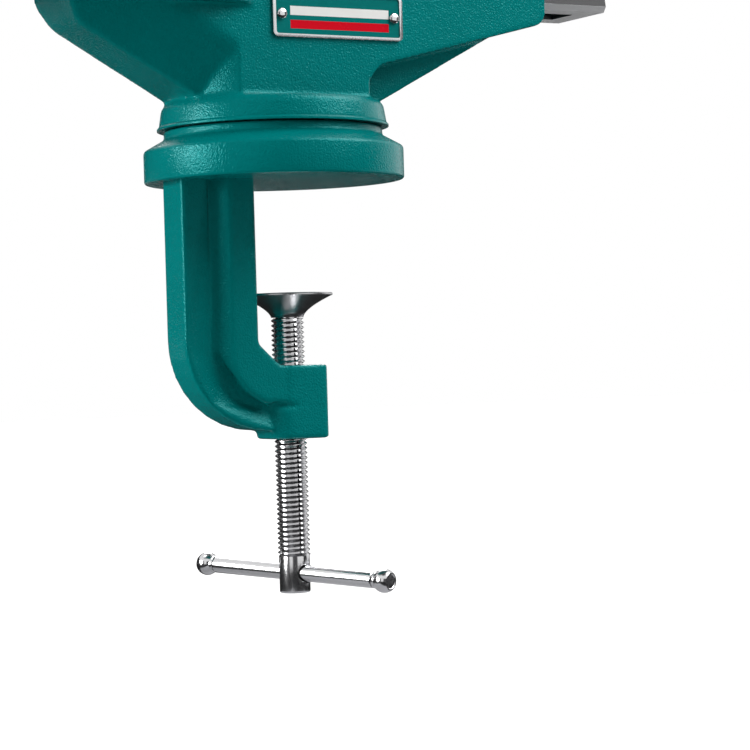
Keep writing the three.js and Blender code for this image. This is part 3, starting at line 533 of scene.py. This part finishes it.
# %% Slabs of the arm
CLAMP_Y = 3.5
ARM_INNER, ARM_BACK, ARM_BEND = -13.5, -41.1, 33
ARM_TOP, ARM_BOTTOM, INTO_FOOT = -66.3, -89.7, 5.5
FLANGE_Y, FLANGE_Z, FLANGE_BEND = -23.7, -79.9, 16.5
FLANGE_HALF, WEB_HALF, BEAD_HALF, BOSS_HALF = 11, 4.6, 8.2, 11.6
inner_edge = [(CLAMP_Y, ARM_TOP), (-5, ARM_TOP, 4.2), (ARM_INNER, -58.5, 0.5), (ARM_INNER, INTO_FOOT)]
outer_edge = [(ARM_BACK, INTO_FOOT), (ARM_BACK, ARM_BOTTOM, ARM_BEND), (CLAMP_Y, ARM_BOTTOM)]
flange_edge = [(FLANGE_Y, INTO_FOOT), (FLANGE_Y, FLANGE_Z, FLANGE_BEND), (CLAMP_Y, FLANGE_Z)]
bead_edge = [(CLAMP_Y, -82.1), (-30.5, -82.1, 22.4), (-30.5, INTO_FOOT)]
draft_edge = [(-29.6, INTO_FOOT), (-29.6, -82.3, 22), (CLAMP_Y, -82.3)]
flange = slab(inner_edge + flange_edge, "x", -FLANGE_HALF, FLANGE_HALF)
web = slab(inner_edge + outer_edge, "x", -WEB_HALF, WEB_HALF)
bead = slab(outer_edge + bead_edge, "x", -BEAD_HALF, BEAD_HALF)
draft = slab(draft_edge + flange_edge[::-1], "x", -FLANGE_HALF, FLANGE_HALF)
boss = slab([(-BOSS_HALF, -7.1, 7), (BOSS_HALF, -7.1, 7), (BOSS_HALF, 13.7, 1.5), (-BOSS_HALF, 13.7, 1.5)],
            "z", -92.9, ARM_TOP)
print("slabs of the arm have", sum(len(bm.faces) for bm in (flange, web, bead, draft, boss)), "faces")

# %% Sloping flanks, so that the arm leaves its mould
BEAD_SLOPE, FLANGE_SLOPE = 0.62, 0.45
bend_centre = Vector((ARM_BACK + ARM_BEND, ARM_BOTTOM + ARM_BEND))
for vert in bead.verts:
    along_back = vert.co.y < ARM_BACK + 1 or vert.co.z < ARM_BOTTOM + 1
    if not along_back and (vert.co.yz - bend_centre).length < ARM_BEND - 1:
        vert.co.x *= BEAD_SLOPE
for vert in draft.verts:
    from_bend = vert.co.yz - Vector((FLANGE_Y + FLANGE_BEND, FLANGE_Z + FLANGE_BEND))
    in_bend = from_bend.x < 0 and from_bend.y < 0
    reach = from_bend.length if in_bend else -min(from_bend)
    if reach > FLANGE_BEND + 0.5:
        vert.co.x *= FLANGE_SLOPE
arm = piece_from("clamp_frame_casting", paint, flange, web, bead, draft, boss)
cast(arm, grain=0.8, passes=0)
print("arm vertices:", len(arm.data.vertices))

# %% Shallow recess beside the boss
RECESS_START, RECESS_SLOPE = -9, 0.062
recess_outline = [(RECESS_START, -82.4), (2.5, -81.6, 0.6), (2.5, -80.2, 0.6), (RECESS_START, -79.2)]
recesses = [slab(recess_outline, "x", low, high) for low, high in ((-14, -7), (7, 14))]
for shape in recesses:
    for vert in shape.verts:
        if abs(vert.co.x) < 10:
            vert.co.x *= 1 + RECESS_SLOPE * (vert.co.y - RECESS_START)
combine(arm, "DIFFERENCE", paint, *recesses)
cast(arm, grain=0.75, passes=5)
print("arm vertices:", len(arm.data.vertices))

# %% Foot and spigot
FOOT_RADIUS, NECK_RADIUS, SPIGOT_RADIUS = 47, 39.5, 24
NECK_TOP, SPIGOT_TOP = 18.7, 34
foot = turned([(0, 0), (FOOT_RADIUS, 0), (FOOT_RADIUS, 11.5), (NECK_RADIUS, 15.7), (NECK_RADIUS, NECK_TOP),
               (SPIGOT_RADIUS, NECK_TOP), (SPIGOT_RADIUS, SPIGOT_TOP), (0, SPIGOT_TOP)], sides=128)
combine(arm, "UNION", paint, soften(foot, 0.9))
clamp_axis = (0, CLAMP_Y, 0)
combine(arm, "DIFFERENCE", iron, rod(5, 6, 36), rod(6.25, -95, -60, clamp_axis))
placed(arm, "base", "teal_paint", "clamp_frame")

# %% [markdown]
# ## Clamp screw, its pad and its cross bar
# The screw is turned from one bar and chromed. Its thread is a V shape swept round and upwards at the
# same time, which spin does when it is given a step along the axis. Each turn meets the one below, so
# the doubles are merged, and the two ends are cut square with bisect_plane and closed. The bar slides
# through an eye that is clearly wider than the bar, and is held by a ball pressed on each end.

# %% A thread
def everything(bm):
    """All that a shape holds, as an operator wants it."""
    return list(bm.verts) + list(bm.edges) + list(bm.faces)


def wound(major, depth, pitch, low, high, centre, axis, sides=40):
    """A threaded rod. One turn is swept, and then doubled until there are turns enough."""
    root, start = major - depth, low - 1.5 * pitch
    thread_shape = [(root, 0), (root, 0.06), (major, 0.47), (major, 0.59), (root, 1)]
    turns = math.ceil((high - low) / pitch) + 3
    bm = bmesh.new()
    line = drawn(bm, [(radius, start + share * pitch) for radius, share in thread_shape])
    bmesh.ops.spin(bm, geom=line, cent=ORIGIN, axis=UP, dvec=(0, 0, pitch / sides), angle=math.tau,
                   steps=sides)
    made = 1
    while made < turns:
        copy = bmesh.ops.duplicate(bm, geom=everything(bm))["geom"]
        bmesh.ops.translate(bm, vec=(0, 0, made * pitch), verts=verts_of(copy))
        made *= 2
    bmesh.ops.remove_doubles(bm, verts=bm.verts, dist=WELD)
    for height, facing in ((low, DOWN), (high, UP)):
        bmesh.ops.bisect_plane(bm, geom=everything(bm), dist=WELD, plane_co=(0, 0, height), plane_no=facing,
                               clear_outer=True)
    bmesh.ops.holes_fill(bm, edges=[e for e in bm.edges if e.is_boundary], sides=0)
    return laid(bm, centre, axis)


# %% Pad
PAD_TOP, PAD_DEEP, PAD_RIM, PAD_NECK, PAD_SOCKET = -40.4, 8.6, 16.7, 5.9, 4.6
RIM_HIGH, FLARE, FLARE_STEPS = 0.8, 1.6, 12
flared = []
for step in range(FLARE_STEPS + 1):
    share = step / FLARE_STEPS
    flared.append((PAD_NECK + (PAD_RIM - PAD_NECK) * (1 - share) ** FLARE,
                   PAD_TOP - RIM_HIGH - (PAD_DEEP - RIM_HIGH) * share))
pad_profile = [(0, PAD_TOP), (PAD_RIM - 0.3, PAD_TOP), (PAD_RIM, PAD_TOP - 0.3)] + flared
pad_profile += [(PAD_NECK - 0.4, PAD_TOP - PAD_DEEP), (PAD_SOCKET, PAD_TOP - PAD_DEEP), (PAD_SOCKET, -43.3),
                (0, -43.3)]
pad = piece_from("clamp_pad_turned", dull_chrome, turned(pad_profile, clamp_axis, sides=96))
placed(pad, "pad", "chrome", "clamp_pad")

# %% Clamp screw
HEAD_TOP, HEAD_BOTTOM, THREAD_END, BAR_LEVEL = -134.9, -148.8, -49.3, -141.5
bar_middle, bar_axis = Vector((0, CLAMP_Y, BAR_LEVEL)), Vector((0.908714, 0.414122, -0.052336))
thread = wound(major=5.95, depth=0.95, pitch=1.75, low=HEAD_TOP - 0.5, high=THREAD_END, centre=clamp_axis,
               axis=UP)
screw = piece_from("clamp_screw_turned", chrome, thread)
head = rod(5.6, HEAD_BOTTOM, HEAD_TOP, clamp_axis, sides=96)
combine(screw, "UNION", chrome, rod(4.3, -51, -43.6, clamp_axis), soften(head, 0.8, segments=4))
combine(screw, "DIFFERENCE", chrome, rod(3.65, -9, 9, bar_middle, bar_axis))
placed(screw, "clamp_spindle", "chrome", "clamp_screw")


# %% Cross bars with a ball on each end
def ball(bar, cap, reach, centre, axis):
    """A ball with a dimpled flat end and a fine groove where it meets the bar. `bar` and `cap` are radii."""
    steps, dimple, groove, core = 14, 0.25, 0.2, bar / 2 + 0.3
    flat = math.asin(cap / (cap + bar / 2))
    sweep = math.pi - math.asin(bar / cap) - flat
    angles = [flat + sweep * step / steps for step in range(steps + 1)]
    end, flat_radius = reach + cap * math.cos(flat), cap * math.sin(flat)
    profile = [(0, end - dimple), (flat_radius - 0.7, end - dimple), (flat_radius - 0.45, end)]
    profile += [(cap * math.sin(angle), reach + cap * math.cos(angle)) for angle in angles]
    profile += [(bar, reach - cap + 0.35), (bar - groove, reach - cap), (core, reach - cap)]
    profile += [(core, reach), (0, reach)]
    return turned(profile, centre, axis, sides=72)


def cross_bar(name, bar, cap, reach, centre, axis, body, ends):
    """A bar and its two balls, for the CAD nodes named by the bar and its ends."""
    room, chamfer, pin = 0.3, 0.2, bar / 2
    tip, shoulder = reach - room, reach - cap - room
    half = [(bar, shoulder - chamfer), (bar - chamfer, shoulder), (pin, shoulder), (pin, tip), (0, tip)]
    profile = [(radius, -height) for radius, height in reversed(half)] + half
    rod_piece = piece_from(f"{name}_turned", chrome, turned(profile, centre, axis, sides=72))
    placed(rod_piece, body, "chrome", name)
    for end, facing in zip(ends, (1, -1)):
        shape = ball(bar, cap, reach, centre, Vector(axis) * facing)
        placed(piece_from(f"{name}_ball_{end}", chrome, shape), body, "chrome", f"{name}_cap_{end}")


bar_centre = bar_middle - bar_axis.normalized() * 0.45
cross_bar("clamp_bar", bar=3, cap=4.25, reach=40.6, centre=bar_centre, axis=bar_axis, body="clamp_handle",
          ends=("near", "far"))

# %% [markdown]
# ## Swivel body
# The largest casting carries the fixed jaw, the anvil and the square housing that the jaw's slide runs
# through. It stands on a round ring that turns on the foot, and on a pedestal with a rounded front. Its
# wide upper part narrows to a nose under the jaw and a rib under the tail. The nose slopes in three
# directions, so it is what a slab from the side, a sheared slab from the front and a slab from above
# share. The body is cast like the arm: all its slabs melt into one skin, and the surfaces that a real
# shop would machine are cut afterwards with crisp edges and show bare iron.

# %% Ring, pedestal and housing
BODY_HALF, HOUSING_TOP, CHIN, FRONT, TAIL = 27.4, 104, 71, -88, 101.4
RING_LOW, RING_TOP, PEDESTAL_RADIUS = 19, 28.1, 38
LOCK_CENTRE, LOCK_AXIS = (0, 0, 27.5), (-1, 0, 0)
ring = turned([(0, RING_LOW), (41.2, RING_LOW), (41.2, 20.3), (40.2, 26.4), (38.8, RING_TOP), (0, RING_TOP)],
              sides=128)
front_angles = [math.radians(degrees) for degrees in range(-136, -43, 4)]
round_front = [(PEDESTAL_RADIUS * math.cos(angle), PEDESTAL_RADIUS * math.sin(angle))
               for angle in front_angles]
pedestal = slab(round_front + [(BODY_HALF, 26, 1.5), (-BODY_HALF, 26, 1.5)], "z", 20, 49)
housing = slab([(-26, 50.5), (-60.2, CHIN, 5), (FRONT, CHIN), (FRONT, HOUSING_TOP), (TAIL, HOUSING_TOP, 4),
                (TAIL, 58, 5), (30.2, 40.2, 2.5), (26, 35.2)], "x", -BODY_HALF, BODY_HALF)
rib = slab([(0, 26.1), (32.6, 26.1), (84, 53.2), (84, 60), (0, 60)], "x", -13.7, 13.7)
anvil = slab(mirrored([(20, 102), (25, 106.5), (25, 117)]), "y", 58, TAIL)
lock_boss = rod(8.3, 26, 47.5, LOCK_CENTRE, LOCK_AXIS)
print("faces round the pedestal:", len(pedestal.faces))

# %% Nose under the jaw
FLANK_SLOPE = 26.8 / 44
from_side = slab([(0, 26.1), (-31.5, 26.1), (-80.2, 53.3, 9), (-85.6, 64, 8), (-87, 76), (0, 76)],
                 "x", -BODY_HALF, BODY_HALF)
from_front = slab(mirrored([(10.5, 17.75), (BODY_HALF, 44.2, 12), (BODY_HALF, 84)]), "y", FRONT, 0)
for vert in from_front.verts:
    vert.co.z -= FLANK_SLOPE * (vert.co.y + 26)
from_above = slab(mirrored([(BODY_HALF, 0), (BODY_HALF, -68, 16), (13, -87, 9), (8, -90)]), "z", 20, 80)
nose = piece_from("nose", paint, from_side)
combine(nose, "INTERSECT", paint, from_front)
combine(nose, "INTERSECT", paint, from_above)
print("nose faces:", len(nose.data.polygons))

# %% Fixed jaw, and one skin over all
JAW_HALF, JAW_TOP = 35, 138
jaw_side = [(-19.4, 59.7, 2.5), (-19.4, 106, 6), (-48, 112, 14), (-62, 119, 7), (-62, JAW_TOP, 2.5),
            (FRONT, JAW_TOP), (FRONT, CHIN), (-70, CHIN, 5), (-51.45, 59.7, 5)]
jaw_plan = mirrored([(JAW_HALF, FRONT), (JAW_HALF, -33.4, 5), (BODY_HALF, -19.4)])
jaw = piece_from("jaw", paint, slab(jaw_side, "x", -JAW_HALF, JAW_HALF))
combine(jaw, "INTERSECT", paint, slab(jaw_plan, "z", 59, 139))
body = piece_from("swivel_body_casting", paint, ring, pedestal, housing, rib, anvil, lock_boss)
whole = bmesh.new()
for part in (body, nose, jaw):
    whole.from_mesh(part.data)
whole.to_mesh(body.data)
whole.free()
for part in (nose, jaw):
    bpy.data.objects.remove(part)
cast(body, grain=0.85, passes=5)
print("body vertices:", len(body.data.vertices))

# %% Machined faces of the body
PLATE_LOW, PLATE_MIDDLE, JAW_SCREWS, SCREW_HOLE = 112, 125, (-22, 22), 2.8
RIVETS, RIVET_LEVEL, RIVET_HOLE = (-9.8, 35.5), 56.85, 1.3
NUT_CENTRE, ROOM = (0, -35, 0), 0.3
lip = turned([(0, RING_LOW), (41.9, RING_LOW), (41.9, 19.65), (41.3, 20.3), (39, 21), (0, 21)], sides=128)
combine(body, "UNION", paint, lip)
slideway = slab(mirrored([(15.9, 64.7), (17.9, 66.7), (17.9, 95.3)]), "y", -95, 105)
plate_seat = box((-40, -90, PLATE_LOW - ROOM), (40, -85, 140))
anvil_top = box((-40, 50, 116), (40, 110, 120))
lock_hole = rod(4.3, 20, 52, LOCK_CENTRE, LOCK_AXIS)
spigot_bore = rod(SPIGOT_RADIUS + ROOM, 15, SPIGOT_TOP + ROOM, sides=96)
bolt_holes = [rod(5.3, 30, 48), rod(13, 44.4, 65.5)]
nut_hole = rod(6.3, 52.7, 66, NUT_CENTRE)
screw_holes = [rod(SCREW_HOLE, -90, -71, (x, 0, PLATE_MIDDLE), ALONG_Y) for x in JAW_SCREWS]
rivet_holes = [rod(RIVET_HOLE, 23.1, 32, (0, y, RIVET_LEVEL), ALONG_X) for y in RIVETS]
combine(body, "DIFFERENCE", iron, slideway, plate_seat, anvil_top, lock_hole, spigot_bore, *bolt_holes,
        nut_hole, *screw_holes, *rivet_holes)
placed(body, "body", "teal_paint", "swivel_body")

# %% [markdown]
# ## Lock screw
# A short threaded spindle in the ring presses a bronze shoe on the spigot and so stops the swivel. It is
# made as the clamp screw is, and its bar leans, as bars do that are left where the screw got tight.

# %% Lock screw and its bar
LOCK_BAR_X, LOCK_LEAN = -57, math.radians(30)
lock_middle = (LOCK_BAR_X, 0, LOCK_CENTRE[2])
lock_bar_axis = Vector((0, math.sin(LOCK_LEAN), math.cos(LOCK_LEAN)))
thread = wound(major=4, depth=0.65, pitch=1.25, low=28.6, high=52, centre=LOCK_CENTRE, axis=LOCK_AXIS)
lock = piece_from("lock_screw_turned", chrome, thread)
combine(lock, "UNION", chrome, soften(rod(5, 51.5, 62.5, LOCK_CENTRE, LOCK_AXIS), 0.8, segments=4))
combine(lock, "DIFFERENCE", chrome, rod(2.8, -8, 8, lock_middle, lock_bar_axis))
placed(lock, "lock_spindle", "chrome", "lock_screw")
cross_bar("lock_bar", bar=2.4, cap=3.5, reach=23, centre=lock_middle, axis=lock_bar_axis, body="lock_handle",
          ends=("upper", "lower"))
shoe = piece_from("lock_shoe_turned", bronze, rod(4, 24.3, 28.3, LOCK_CENTRE, LOCK_AXIS, chamfer=0.3))
placed(shoe, "lock_foot", "bronze", "lock_shoe")

# %% [markdown]
# ## Pivot bolt and washer
# They sit in a pocket under the slide and hold the body down on the base. The bolt's hexagon is a
# six-sided rod with its top corners cut round by a cone, as a real bolt head is.

# %% Pivot
BOLT_LOW, BOLT_TOP, HEX_CORNER = 47, 53.4, 9.81
bolt = piece_from("pivot_bolt_turned", blackened, rod(5, 8, 47.5, chamfer=0.6))
six_sided = turned([(0, BOLT_LOW), (HEX_CORNER, BOLT_LOW), (HEX_CORNER, BOLT_TOP), (0, BOLT_TOP)], sides=6)
cone = turned([(0, 46), (9.9, 46), (9.9, 52.4), (8.3, BOLT_TOP), (0, BOLT_TOP)])
hexagon = combine(piece_from("hexagon", blackened, six_sided), "INTERSECT", blackened, cone)
combine(bolt, "UNION", blackened, shape_from(hexagon))
placed(bolt, "base", "blackened_steel", "pivot_bolt")


def washer(name, outer, inner, low, high, centre, axis, body, node):
    """A flat ring with its edges just broken."""
    edge = 0.2
    profile = [(inner, low), (outer - edge, low), (outer, low + edge),
               (outer, high - edge), (outer - edge, high), (inner, high), (inner, low)]
    ring_piece = piece_from(name, ground, turned(profile, centre, axis, sides=72))
    return placed(ring_piece, body, "ground_steel", node)


washer("pivot_washer_turned", 10.5, 5.3, 44.7, 46.7, ORIGIN, UP, "base", "pivot_washer")

# %% [markdown]
# ## Name plate
# A thin pressed plate with a raised bright rim and a darker painted field, held by two domed rivets. The
# rim is left standing and the field is cut down inside it, so the border is real and not only a colour.
# The two stripes are generic and carry no words. They are painted by where a point lies on the plate.

# %% Plate finish
SILVER, FIELD_DEEP, FIELD = (0.66, 0.67, 0.68, 1), (0.0, 0.155, 0.145, 1), (0.0, 0.175, 0.165, 1)
STRIPE_WHITE, STRIPE_RED = (0.85, 0.85, 0.83, 1), (0.66, 0.004, 0.016, 1)
PLATE_FRONT, FIELD_FRONT = 28.5, 28.1
plate = Finish("plate_finish", Metallic=1.0, Roughness=0.25, Specular_IOR_Level=0.06)
plate_x, plate_y, plate_z = plate.axis("X"), plate.axis("Y"), plate.axis("Z")


def between(value, low, high):
    """1 where a Number lies between two values."""
    return (value > low) * (value < high)


in_field = between(plate_y, -12.15, 37.85) * between(plate_z, 49.85, 63.85) * (plate_x < FIELD_FRONT + 0.2)
stripe_length = between(plate_y, -6.3, 33.4)
paints = plate.mix(plate.noise(200), FIELD_DEEP, FIELD)
paints = plate.mix(stripe_length * between(plate_z, 56.5, 59.7), paints, STRIPE_WHITE)
paints = plate.mix(stripe_length * between(plate_z, 51.8, 54.8), paints, STRIPE_RED)
plate.feed("Base Color", plate.mix(in_field, SILVER, paints))
plate.feed("Metallic", 1 - in_field)
plate.feed("Roughness", plate.noise(400) * 0.12 + 0.2)
plate.feed("Normal", plate.bump(plate.noise(500), depth=0.02))
print("nodes in the plate's finish:", len(plate.tree.nodes))

# %% Plate and rivets
RIVET_UNDER, RIVET_RADIUS, RIVET_DOME, RIVET_EDGE, DOME_STEPS = 28.4, 1.9, 1.0, 0.3, 8
sheet_outline = [(-13.3, 48.7, 2), (39, 48.7, 2), (39, 65, 2), (-13.3, 65, 2)]
field_outline = [(-12.1, 49.9, 0.9), (37.8, 49.9, 0.9), (37.8, 63.8, 0.9), (-12.1, 63.8, 0.9)]
label = piece_from("name_plate_pressed", plate, soften(slab(sheet_outline, "x", 27.7, PLATE_FRONT), 0.12, 2))
combine(label, "DIFFERENCE", plate, slab(field_outline, "x", FIELD_FRONT, 30),
        *[rod(RIVET_HOLE, 27, 30, (0, y, RIVET_LEVEL), ALONG_X) for y in RIVETS])
placed(label, "body", "plate_metal", "name_plate")
rivet_profile = [(0, 23.4), (1, 23.4), (1, RIVET_UNDER), (RIVET_RADIUS, RIVET_UNDER),
                 (RIVET_RADIUS, RIVET_UNDER + RIVET_DOME * RIVET_EDGE)]
for step in range(1, DOME_STEPS):
    angle = math.pi / 2 * step / DOME_STEPS
    share = RIVET_EDGE + (1 - RIVET_EDGE) * math.sin(angle)
    rivet_profile.append((RIVET_RADIUS * math.cos(angle), RIVET_UNDER + RIVET_DOME * share))
rivet_profile.append((0, RIVET_UNDER + RIVET_DOME))
for name, y in zip(("front", "back"), RIVETS):
    domed = turned(rivet_profile, (0, y, RIVET_LEVEL), ALONG_X, sides=40)
    rivet = piece_from(f"name_plate_rivet_domed_{name}", chrome, domed)
    placed(rivet, "body", "chrome", f"name_plate_rivet_{name}", crease=50)

# %% [markdown]
# ## Jaw plates and their screws
# The plates are hardened steel with a field of small pyramids that bite the work. A grid face is poked,
# which puts a point in the middle of every square. Each plate is held by two countersunk screws with a slot.

# %% Jaw plates
PLATE_THICK, PLATE_BEVEL, TEETH_ACROSS, TEETH_HIGH, TOOTH_DEEP = 6, 1, 27, 10, 0.5
FIXED_FACE, MOVING_FACE = -91.3, -111.3


def jaw_plate(name, face, towards, body, node):
    """A toothed plate. Its teeth are at `face`, and `towards` is the direction into the jaw along Y."""
    width, height = 2 * JAW_HALF, JAW_TOP - PLATE_LOW
    field_width, field_height = width - 2 * PLATE_BEVEL, height - 2 * PLATE_BEVEL
    bm = bmesh.new()
    bmesh.ops.create_grid(bm, x_segments=TEETH_ACROSS, y_segments=TEETH_HIGH, size=0.5)
    bmesh.ops.scale(bm, vec=(field_width, field_height, 1), verts=bm.verts)
    rim = [e for e in bm.edges if e.is_boundary]
    skirt = verts_of(bmesh.ops.extrude_edge_only(bm, edges=rim)["geom"])
    bmesh.ops.scale(bm, vec=(width / field_width, height / field_height, 1), verts=skirt)
    bmesh.ops.translate(bm, vec=(0, 0, -PLATE_BEVEL), verts=skirt)
    edge = [e for e in bm.edges if e.is_boundary]
    wall = verts_of(bmesh.ops.extrude_edge_only(bm, edges=edge)["geom"])
    bmesh.ops.translate(bm, vec=(0, 0, PLATE_BEVEL - PLATE_THICK), verts=wall)
    bmesh.ops.contextual_create(bm, geom=[e for e in bm.edges if e.is_boundary])
    teeth = [f for f in bm.faces if f.normal.z > 0.9 and len(f.verts) == 4]
    bmesh.ops.poke(bm, faces=teeth, offset=-TOOTH_DEEP)
    laid(bm, (0, face, (JAW_TOP + PLATE_LOW) / 2), (0, -towards, 0))
    plate_piece = piece_from(name, hardened, bm)
    for x in JAW_SCREWS:
        sink = [(0, -2), (5.3, -2), (5.3, 1), (SCREW_HOLE, 3.5), (SCREW_HOLE, 8), (0, 8)]
        combine(plate_piece, "DIFFERENCE", hardened, turned(sink, (x, face, PLATE_MIDDLE), (0, towards, 0)))
    return placed(plate_piece, body, "hardened_steel", node, crease=20)


jaw_plate("fixed_jaw_plate_toothed", FIXED_FACE, 1, "body", "fixed_jaw_plate")
jaw_plate("moving_jaw_plate_toothed", MOVING_FACE, -1, "jaw", "moving_jaw_plate")


# %% Jaw screws
def jaw_screw(name, x, face, towards, body, node):
    """A countersunk screw with a slot, sunk into a jaw plate."""
    profile = [(0, 0.85), (4.85, 0.85), (5, 1), (5, 1.15), (2.5, 3.65), (2.5, 13.6), (2.1, 14), (0, 14)]
    turned_screw = turned(profile, (x, face, PLATE_MIDDLE), (0, towards, 0))
    screw_piece = piece_from(name, blackened, turned_screw)
    low, high = sorted((face - towards * 2, face + towards * 2.15))
    slot = box((x - 7, low, PLATE_MIDDLE - 0.6), (x + 7, high, PLATE_MIDDLE + 0.6))
    combine(screw_piece, "DIFFERENCE", blackened, slot)
    return placed(screw_piece, body, "blackened_steel", node)


for x, side in zip(JAW_SCREWS, ("far", "near")):
    jaw_screw(f"fixed_jaw_screw_cut_{side}", x, FIXED_FACE, 1, "body", f"fixed_jaw_screw_{side}")
    jaw_screw(f"moving_jaw_screw_cut_{side}", x, MOVING_FACE, -1, "jaw", f"moving_jaw_screw_{side}")

# %% [markdown]
# ## Moving jaw
# The head is cast and painted. The long slide behind it is machined on all sides, with a chamfer along
# its lower edges and a channel for the lead screw, so it is made crisp and joined to the finished casting.

# %% Head
HEAD_FRONT, HEAD_BACK, HEAD_LOW = -146.6, -114.6, 99
lead_axis = (0, 0, 78.5)
head_side = slab([(HEAD_BACK, HEAD_LOW, 2), (HEAD_BACK, JAW_TOP, 1), (-140.6, JAW_TOP, 5),
                  (HEAD_FRONT, 126, 5), (HEAD_FRONT, HEAD_LOW, 5)], "x", -JAW_HALF, JAW_HALF)
apron = slab([(24, 61, 6), (24, 104), (-24, 104), (-24, 61, 6)], "y", HEAD_FRONT, HEAD_BACK)
collar = rod(16, -151.6, -140, lead_axis, ALONG_Y)
moving = cast(piece_from("moving_jaw_casting", paint, head_side, apron, collar), grain=0.85, passes=5)
print("head vertices:", len(moving.data.vertices))

# %% Slide, and what is cut into both
SLIDE_BACK, SLIDE_TOP = 135.9, 95
straight = slab(mirrored([(15.6, 65), (17.6, 67), (17.6, SLIDE_TOP)]), "y", -116.6, SLIDE_BACK)
raked = slab([(-118, 64), (SLIDE_BACK, 64), (SLIDE_BACK, 65), (131.4, SLIDE_TOP), (131.4, 96), (-118, 96)],
             "x", -20, 20)
slide = combine(piece_from("slide", slide_finish, straight), "INTERSECT", slide_finish, raked)
combine(moving, "UNION", slide_finish, shape_from(slide))
plate_seat = box((-40, -117.6, PLATE_LOW - ROOM), (40, -110, 140))
spring_pocket = box((-10.5, -130.6, 55), (10.5, -110.6, 91))
screw_channel = box((-7, -112.6, 55), (7, 127.4, 89))
lead_bore = rod(6.3, -155, -128, lead_axis, ALONG_Y)
screw_holes = [rod(SCREW_HOLE, -132, -115, (x, 0, PLATE_MIDDLE), ALONG_Y) for x in JAW_SCREWS]
combine(moving, "DIFFERENCE", iron, plate_seat, spring_pocket, screw_channel, lead_bore, *screw_holes)
placed(moving, "jaw", "teal_paint", "moving_jaw")

# %% [markdown]
# ## Lead screw
# It pulls the moving jaw along. Its head turns against a washer at the front, a spring and a pin behind
# the wall take up the slack, and its thread runs in a nut that is dropped into the body.

# %% Lead screw
lead_eye, pin_hole = (0, -165.8, lead_axis[2]), (0, -117.9, lead_axis[2])
thread = wound(major=6, depth=1.25, pitch=3, low=-113, high=26, centre=lead_axis, axis=ALONG_Y)
lead = piece_from("lead_screw_turned", chrome, thread)
lead_head = soften(rod(11, -177.8, -153.8, lead_axis, ALONG_Y, sides=96), 1.4, segments=5)
combine(lead, "UNION", chrome, rod(6, -155, -112, lead_axis, ALONG_Y), lead_head)
combine(lead, "DIFFERENCE", chrome, rod(4.5, -14, 14, lead_eye, ALONG_X),
        rod(1.5, -14, 14, pin_hole, ALONG_X))
placed(lead, "lead_spindle", "chrome", "lead_screw")
cross_bar("lead_screw_bar", bar=4, cap=6, reach=55, centre=lead_eye, axis=ALONG_X, body="lead_handle",
          ends=("near", "far"))
washer("thrust_washer_turned", 10.5, 6.3, -153.5, -151.9, lead_axis, ALONG_Y, "lead_spindle", "thrust_washer")
washer("spring_washer_turned", 9, 6.3, -121, -119.4, lead_axis, ALONG_Y, "lead_spindle", "spring_washer")
pin = piece_from("spring_pin_turned", ground, rod(1.2, -8.5, 8.5, pin_hole, ALONG_X, chamfer=0.2))
placed(pin, "lead_spindle", "ground_steel", "spring_pin")

# %% Spring
WIRE, COIL, SPRING_LOW, SPRING_HIGH, TURNS, STEPS_A_TURN = 0.8, 7.6, -130.3, -121.3, 4, 40
coil = bmesh.new()
wire_end = bmesh.ops.create_circle(coil, cap_ends=False, radius=WIRE, segments=12)["verts"]
bmesh.ops.rotate(coil, verts=wire_end, cent=ORIGIN, matrix=Matrix.Rotation(math.pi / 2, 3, "X"))
bmesh.ops.translate(coil, verts=wire_end, vec=(COIL, 0, WIRE))
steps = STEPS_A_TURN * TURNS
rise = (SPRING_HIGH - SPRING_LOW - 2 * WIRE) / steps
bmesh.ops.spin(coil, geom=list(coil.verts) + list(coil.edges), cent=ORIGIN, axis=UP, angle=math.tau * TURNS,
               steps=steps, dvec=(0, 0, rise))
bmesh.ops.holes_fill(coil, edges=[e for e in coil.edges if e.is_boundary], sides=0)
laid(coil, (0, SPRING_LOW, lead_axis[2]), ALONG_Y)
spring = piece_from("return_spring_wound", ground, coil)
placed(spring, "jaw", "ground_steel", "return_spring", crease=60)

# %% Nut
nut_block = soften(box((-6.6, -48, 65), (6.6, -22, 88)), 0.8)
nut = piece_from("lead_screw_nut_milled", ground, nut_block)
combine(nut, "UNION", ground, rod(6, 53, 67, NUT_CENTRE, UP, chamfer=0.6))
combine(nut, "DIFFERENCE", ground, rod(6.3, -50, -20, lead_axis, ALONG_Y))
placed(nut, "body", "ground_steel", "lead_screw_nut")
